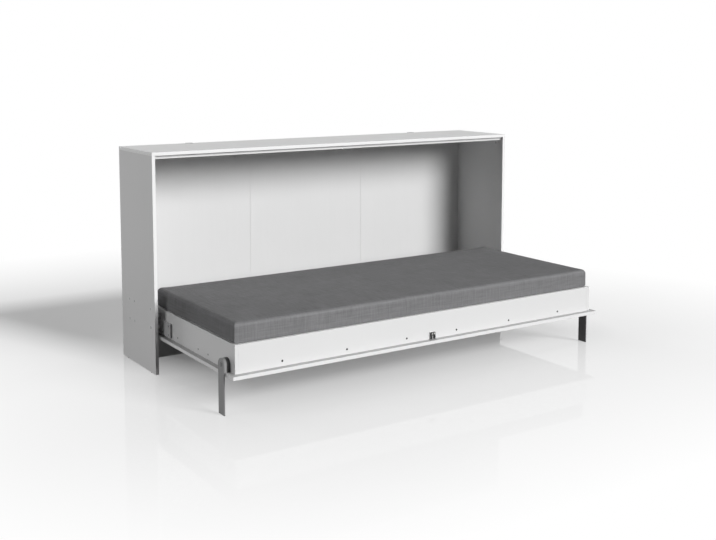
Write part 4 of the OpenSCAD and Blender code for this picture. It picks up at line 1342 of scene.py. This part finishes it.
@dataclass
class Mattress:
    """A foam mattress in a woven cover: crowned, drawn in between its corners and resting in the box.

    Attributes:
        cover: its finish.
        length: its nominal length, in millimetres as all that follows.
        width: its nominal width.
        centre: its middle, from the bed's middle and the cabinet's front.
        foot_z: the height of its underside.
        ledge_z: the height of the frame's top edge.
        edge_z: the height of its top at the edge.
        crown: how far its top rises in the middle.
        swell: how far it swells out over the frame at its ends, its front and its rear.
        corner_r: the radius of its upright corners.
        edge_r: the radius of its top edges.
        draw: how far its sides are drawn in between the corners.
        cell: the mesh's spacing.
        corner_cells: the cells round an upright corner.
        limit: how far the cloth may move.
        frames: the simulation's frames.
        side_shift: how far the map of the ends lies from that of the front, in metres.
        top_bias: how much sooner a sloping face takes the map from above.
        stretched: the slope where the painted highlight on the top edge is strongest, as its normal's Z, and
            how far off that ends.
    """

    cover: bpy.types.Material
    length: float = 2000.0
    width: float = 800.0
    centre: tuple[float, float] = (-3.0, -309.0)
    foot_z: float = 248.3
    ledge_z: float = 308.4
    edge_z: float = 397.3
    crown: float = 5.0
    swell: tuple[float, float, float] = (16.0, 7.0, 12.0)
    corner_r: float = 7.0
    edge_r: float = 18.0
    draw: float = 2.5
    cell: float = 18.0
    corner_cells: int = 5
    limit: float = 3.5
    frames: int = 20
    side_shift: float = 9.0
    top_bias: float = 1.25
    stretched: tuple[float, float] = (0.42, 0.4)

    @property
    def cells(self) -> tuple[int, int]:
        """The cells across the mattress and along it, in the order that the outline goes round."""
        return round(self.width / self.cell), round(self.length / self.cell)

    def levels(self) -> list[tuple[float, float, float]]:
        """The side's rows from the foot to the top edge, as (inset, share of the swell, height).

        Returns:
            The rows.
        """
        rows = [(9.0, 0.0, self.foot_z), (2.5, 0.0, self.foot_z + 3.5)]
        rows += [(0.0, 0.0, self.foot_z + rise) for rise in (12.0, 30.0, 48.0)]
        rows += [(0.0, share, self.ledge_z + rise)
                 for share, rise in ((0.0, -2.0), (0.35, 0.6), (0.8, 1.2), (1.0, 4.0), (1.0, 16.0))]
        top, start = self.edge_z - self.edge_r, self.ledge_z + 16.0
        rows += [(0.0, 1.0, start + (top - start) * k / 3.0) for k in (1, 2, 3)]
        for a in (math.pi / 2 * k / 4.0 for k in range(1, 5)):
            rows.append((self.edge_r * (1.0 - math.cos(a)), 1.0, top + self.edge_r * math.sin(a)))
        return rows

    def outline(self, inset: float, share: float) -> list[Vector]:
        """A level outline with round corners, as points in millimetres from the middle.

        Args:
            inset: how far it lies inside the nominal size.
            share: how much of the swell it has, from 0 to 1.

        Returns:
            The points, counted the same for every row.
        """
        end, front, rear = (w * share - inset for w in self.swell)
        r, pull = self.corner_r, self.draw * share
        half = (self.length / 2, self.width / 2)
        points: list[Vector] = []
        for q in range(4):
            a, b, n = half[q % 2], half[1 - q % 2], self.cells[q % 2]
            turn = Matrix.Rotation(q * math.pi / 2, 2)
            for t in (2.0 * k / n - 1.0 for k in range(n)):
                points.append(turn @ Vector((a - pull * (1.0 - t * t) ** 2, (b - r) * t)))
            for w in (math.pi / 2 * k / self.corner_cells for k in range(self.corner_cells)):
                points.append(turn @ Vector((a - r + r * math.cos(w), b - r + r * math.sin(w))))
        for point in points:
            point.x *= 1.0 + 2.0 * end / self.length
            point.y *= 1.0 + 2.0 * (rear if point.y > 0.0 else front) / self.width
        return points

    def shell(self) -> bmesh.types.BMesh:
        """The mattress as quads: level rows round the sides and an even grid on top and underneath.

        Returns:
            The closed shell, in millimetres from the mattress's middle.
        """
        shape = bmesh.new()
        rings = [[shape.verts.new((p.x, p.y, z)) for p in self.outline(inset, share)]
                 for inset, share, z in self.levels()]
        for low, high in zip(rings, rings[1:]):
            bridge(shape, low, high)
        self._lid(shape, rings[-1], self.crown)
        self._lid(shape, rings[0], 0.0)
        bmesh.ops.recalc_face_normals(shape, faces=shape.faces)
        return shape

    def _lid(self, shape: bmesh.types.BMesh, ring: list, crown: float) -> None:
        """Fills a ring with a grid whose outer cells meet the round corners.

        Args:
            shape: the mesh to fill.
            ring: the outline's vertices.
            crown: how far the lid rises in the middle.
        """
        (ny, nx), nc = self.cells, self.corner_cells
        counts = (ny, nx, ny, nx)
        starts = [sum(counts[:q]) + q * nc for q in range(4)]
        east, north, west, south = (
            [ring[(start + k) % len(ring)] for k in range(n + 1)] for start, n in zip(starts, counts))
        hx, hy = abs(east[0].co.x), abs(north[0].co.y)
        grid: list[list] = []
        for i in range(nx + 1):
            x = south[i].co.x
            column = [south[i]]
            for y in (v.co.y for v in reversed(west)):
                lift = crown * (1.0 - (x / hx) ** 2) * (1.0 - (y / hy) ** 2)
                column.append(shape.verts.new((x, y, ring[0].co.z + lift)))
            grid.append(column + [north[nx - i]])
        for low, high in zip(grid, grid[1:]):
            for j in range(ny + 2):
                shape.faces.new((low[j], high[j], high[j + 1], low[j + 1]))
        for inner, outer in ((grid[nx][1:-1], east), (west[::-1], grid[0][1:-1])):
            for j in range(ny):
                shape.faces.new((inner[j], outer[j], outer[j + 1], inner[j + 1]))
        hubs = (grid[nx][ny + 1], grid[0][ny + 1], grid[0][1], grid[nx][1])
        for hub, start, n in zip(hubs, starts, counts):
            arc = [ring[(start + n + k) % len(ring)] for k in range(nc + 1)]
            for a, b in zip(arc, arc[1:]):
                shape.faces.new((hub, a, b))

    def build(self) -> bpy.types.Object:
        """Makes the mattress, lets its cover swell and gives it a cloth map.

        Returns:
            The piece.
        """
        shape = self.shell()
        for vert in shape.verts:
            vert.co = at(vert.co.x + self.centre[0], vert.co.y + self.centre[1], vert.co.z)
        piece = link("mattress_cover", shape)
        self.inflate(piece)
        self.confine(piece)
        fine = piece.modifiers.new("fine", "SUBSURF")
        fine.levels = fine.render_levels = 1
        settle(piece)
        self.confine(piece)
        self.map_cloth(piece.data)
        self.mark_edge(piece.data)
        piece.data.shade_smooth()
        piece.data.materials.append(self.cover)
        hand_over(piece, "mattress")
        return piece

    def inflate(self, piece: bpy.types.Object) -> None:
        """Swells the cover by a short cloth simulation, with the part inside the box held still.

        Args:
            piece: the mattress.
        """
        before = [v.co.copy() for v in piece.data.vertices]
        held = piece.vertex_groups.new(name="held")
        foot = [v.index for v in piece.data.vertices if v.co.z < (self.ledge_z + 1.0) / 1000.0]
        held.add(foot, 1.0, "REPLACE")
        cloth = piece.modifiers.new("cloth", "CLOTH")
        for name, value in {
                "quality": 6, "mass": 0.4, "tension_stiffness": 25.0, "compression_stiffness": 25.0,
                "bending_stiffness": 1.5, "use_pressure": True, "uniform_pressure_force": 3.0,
                "vertex_group_mass": "held"}.items():
            setattr(cloth.settings, name, value)
        cloth.settings.effector_weights.gravity = 0.0
        cloth.collision_settings.use_collision = False
        scene = bpy.context.scene
        cloth.point_cache.frame_start, cloth.point_cache.frame_end = 1, self.frames
        for number in range(1, self.frames + 1):
            scene.frame_set(number)
        graph = bpy.context.evaluated_depsgraph_get()
        moved = [v.co.copy() for v in piece.evaluated_get(graph).data.vertices]
        piece.modifiers.clear()
        scene.frame_set(1)
        cap = self.limit / 1000.0
        for vert, start, end in zip(piece.data.vertices, before, moved):
            step = end - start
            vert.co = start + (step.normalized() * cap if step.length > cap else step)

    def confine(self, piece: bpy.types.Object) -> None:
        """Keeps the mattress out of the boards and off the slats.

        Args:
            piece: the mattress.
        """
        middle = at(*self.centre, 0.0)
        half = Vector((self.length / 2, self.width / 2))
        inside, outside = half / 1000.0, (half + Vector((self.swell[0] + 1.0, self.swell[2] + 1.0))) / 1000.0
        for vert in piece.data.vertices:
            limit = inside if vert.co.z < self.ledge_z / 1000.0 else outside
            for i in (0, 1):
                vert.co[i] = middle[i] + max(-limit[i], min(limit[i], vert.co[i] - middle[i]))
            vert.co.z = max(self.foot_z / 1000.0, vert.co.z)

    def mark_edge(self, mesh: bpy.types.Mesh) -> None:
        """Writes a painted highlight along the cover's rounded top edge, strongest at a given slope of its
        normal, where the cover's colour is made lighter.

        Args:
            mesh: the mattress's mesh.
        """
        marks = mesh.attributes.new("stretch", "FLOAT", "POINT")
        above = (self.edge_z - 2.0 * self.edge_r) / 1000.0
        most, reach = self.stretched
        values = [max(0.0, 1.0 - abs(v.normal.z - most) / reach) * (v.co.z > above) for v in mesh.vertices]
        marks.data.foreach_set("value", values)

    def map_cloth(self, mesh: bpy.types.Mesh) -> None:
        """Writes a UV map in metres, from above on the top and from each side on the sides.

        Args:
            mesh: the mattress's mesh.
        """
        layer = mesh.uv_layers.new(name="cloth")
        for face in mesh.polygons:
            n = face.normal
            axis = max(range(3), key=lambda i: abs(n[i]) * (self.top_bias if i == 2 else 1.0))
            for loop in face.loop_indices:
                c = mesh.vertices[mesh.loops[loop].vertex_index].co
                layer.data[loop].uv = ((c.y + self.side_shift, c.z), (c.x, c.z), (c.x, c.y))[axis]


# Stage, light and camera


@dataclass(frozen=True)
class Sun:
    """A broad, distant lamp that doesn't show in gloss.

    Attributes:
        name: the lamp's name.
        azimuth: where it stands, in degrees from straight in front towards the right end.
        elevation: its height above the horizon in degrees.
        spread: how broad it looks from the object, in degrees.
        power: its strength.
        distance: how far off it is drawn, in metres, which doesn't change its light.
    """

    name: str
    azimuth: float
    elevation: float
    spread: float
    power: float
    distance: float = 8.0

    def build(self) -> None:
        """Adds the lamp."""
        light = bpy.data.lights.new(self.name, "SUN")
        light.energy = self.power
        light.angle = math.radians(self.spread)
        lamp = bpy.data.objects.new(self.name, light)
        turn, rise = math.radians(self.azimuth), math.radians(self.elevation)
        source = Vector((math.sin(turn) * math.cos(rise), -math.cos(turn) * math.cos(rise), math.sin(rise)))
        lamp.visible_glossy = False
        lamp.location = source * self.distance
        lamp.rotation_euler = source.to_track_quat("Z", "Y").to_euler()
        bpy.context.scene.collection.objects.link(lamp)


@dataclass
class Stage:
    """A pale glossy floor that glows white away from the object, four broad lamps and a white background.

    Attributes:
        suns: a main lamp in front on the right, and weaker ones on the left, behind and on the right.
        fill: the background's light on all that neither the camera nor gloss sees.
        floor_size: half of the floor's width, in metres as all lengths here.
        floor_drop: how far it lies below the feet.
        floor_tone: how pale the floor is.
        floor_bounce: how pale the floor is to light that it sends on.
        shade: the floor's region of painted shade, where it glows least, as left, right, front and back, from
            the cabinet's front.
        lean: how far the region drifts left for each metre behind the cabinet's front.
        shade_glow: how white the floor is in the region, at the cabinet's front and at the depth shade_deep.
        shade_deep: that depth behind the cabinet's front.
        floor_glow: how white it is at the distance near.
        near: the distance from the region to there.
        far: the distance from the region to where the floor is fully white.
    """

    suns: tuple[Sun, ...] = (Sun("key", 21.0, 21.6, 28.0, 3.50), Sun("side", -104.0, 18.0, 30.0, 0.77),
                             Sun("behind", 192.0, 6.0, 10.0, 1.35), Sun("right", 96.0, 6.5, 12.0, 1.05))
    fill: float = 0.0
    floor_size: float = 40.0
    floor_drop: float = 0.0002
    floor_tone: float = 0.92
    floor_bounce: float = 0.10
    shade: tuple[float, float, float, float] = (-0.76, 1.10, -0.40, 1.60)
    lean: float = 0.38
    shade_glow: tuple[float, float] = (0.17, 0.02)
    shade_deep: float = 0.9
    floor_glow: float = 0.545
    near: float = 0.36
    far: float = 1.72

    def glow(self, g: Graph) -> Wire:
        """How much the floor glows white at each place: little in a leaning region of painted shade where the
        object's shadow falls, and fully white far off.

        Args:
            g: the floor's graph.

        Returns:
            The share of white.
        """
        x, y, _ = g.split(g.place())
        y = y - FRONT_Y / 1000.0
        left, right, front, back = self.shade
        x = x + y.math("MAXIMUM", 0.0) * self.lean
        out_x, out_y = (((c - (low + high) / 2.0).math("ABSOLUTE") - (high - low) / 2.0).math("MAXIMUM", 0.0)
                        for c, low, high in ((x, left, right), (y, front, back)))
        out = (out_x * out_x + out_y * out_y).math("SQRT")
        deep = g.span(y, self.shade_deep, *self.shade_glow)
        close = g.span(out, self.near, deep, self.floor_glow)
        return close + g.span(out, self.far, 0.0, 1.0 - self.floor_glow, low=self.near)

    def floor(self) -> None:
        """Lays the floor."""
        shape = bmesh.new()
        bmesh.ops.create_grid(shape, x_segments=1, y_segments=1, size=self.floor_size)
        g = Graph("pale_floor")
        camera, gloss, bounced = (g.wire("ShaderNodeLightPath", output=f"Is {ray} Ray")
                                  for ray in ("Camera", "Glossy", "Diffuse"))
        g.feed(g.shader.inputs["Base Color"],
               g.tint(bounced, [self.floor_tone] * 3, [self.floor_bounce] * 3))
        g.feed(g.shader.inputs["Roughness"], (g.noise(g.place(), 1.5) * 0.02 + 0.02).clamp())
        white = g.wire("ShaderNodeEmission", {}, {"Color": WHITE, "Strength": 1.0})
        share = (self.glow(g) * (camera + gloss).clamp()).clamp()
        mix = g.wire("ShaderNodeMixShader", {}, {0: share, 1: g.shader.outputs[0], 2: white})
        g.feed(g.output.inputs[0], mix)
        ground = link("studio_floor", shape, finish=g.material)
        ground.location.z = -self.floor_drop

    def sky(self) -> None:
        """Gives the camera, gloss and glass a white background, and everything else the fill."""
        world = bpy.data.worlds.new("studio")
        bpy.context.scene.world = world
        world.use_nodes = True
        net = Network(world.node_tree)
        camera, gloss, glass = (net.wire("ShaderNodeLightPath", output=f"Is {ray} Ray")
                                for ray in ("Camera", "Glossy", "Transmission"))
        dim, white = (net.wire("ShaderNodeBackground", {}, {"Color": WHITE, "Strength": strength})
                      for strength in (self.fill, 1.0))
        mix = net.wire("ShaderNodeMixShader", {}, {0: camera.math("MAXIMUM", gloss).math("MAXIMUM", glass),
                                                   1: dim, 2: white})
        net.make("ShaderNodeOutputWorld", {}, {0: mix})

    def build(self) -> None:
        """Lays the floor and sets the lights."""
        self.floor()
        self.sky()
        for sun in self.suns:
            sun.build()


@dataclass(frozen=True)
class PhotoCamera:
    """The camera at the photograph's viewing angle."""

    place: tuple[float, float, float] = (-2922.0, -4552.0, 1486.0)
    lens: float = 52.89
    sensor: float = 36.0
    yaw_deg: float = 33.28
    pitch_deg: float = 5.67
    shift_y: float = -0.15

    def build(self) -> None:
        """Creates the camera and makes it the scene's."""
        data = bpy.data.cameras.new("photo_camera")
        data.sensor_width, data.lens, data.shift_y = self.sensor, self.lens, self.shift_y
        camera = bpy.data.objects.new("photo_camera", data)
        camera.location = at(*self.place)
        camera.rotation_euler = (math.radians(90.0 - self.pitch_deg), 0.0, -math.radians(self.yaw_deg))
        bpy.context.scene.collection.objects.link(camera)
        bpy.context.scene.camera = camera


def main() -> None:
    """Builds the wall bed, the stage and the camera."""
    logging.basicConfig(level=logging.INFO, format="%(name)s %(message)s")
    bpy.context.scene.view_settings.view_transform = "Standard"
    PhotoCamera().build()
    palette = {name: finish.build() for name, finish in FINISHES.items()}
    tree = fastener_tree()
    hinges = Hinges(palette)
    Cabinet(palette).build(tree)
    for side in Side:
        hinges.end(side)
        # The leg blocks' coat paints shade next to the end boards and a highlight on their outer strips.
        dress(palette, (f"leg_{side.word}", "coat", 0.8, 3), (f"leg_block_{side.word}", "block_coat", 1.2, 3))
    hinges.fasteners(tree)
    dress(palette, ("leg_pins", "dark_steel", 0.3))
    BedBox(palette).build(tree)
    Catch(palette).build()
    Mattress(palette["cover"]).build()
    Stage().build()


if __name__ == "__main__":
    main()
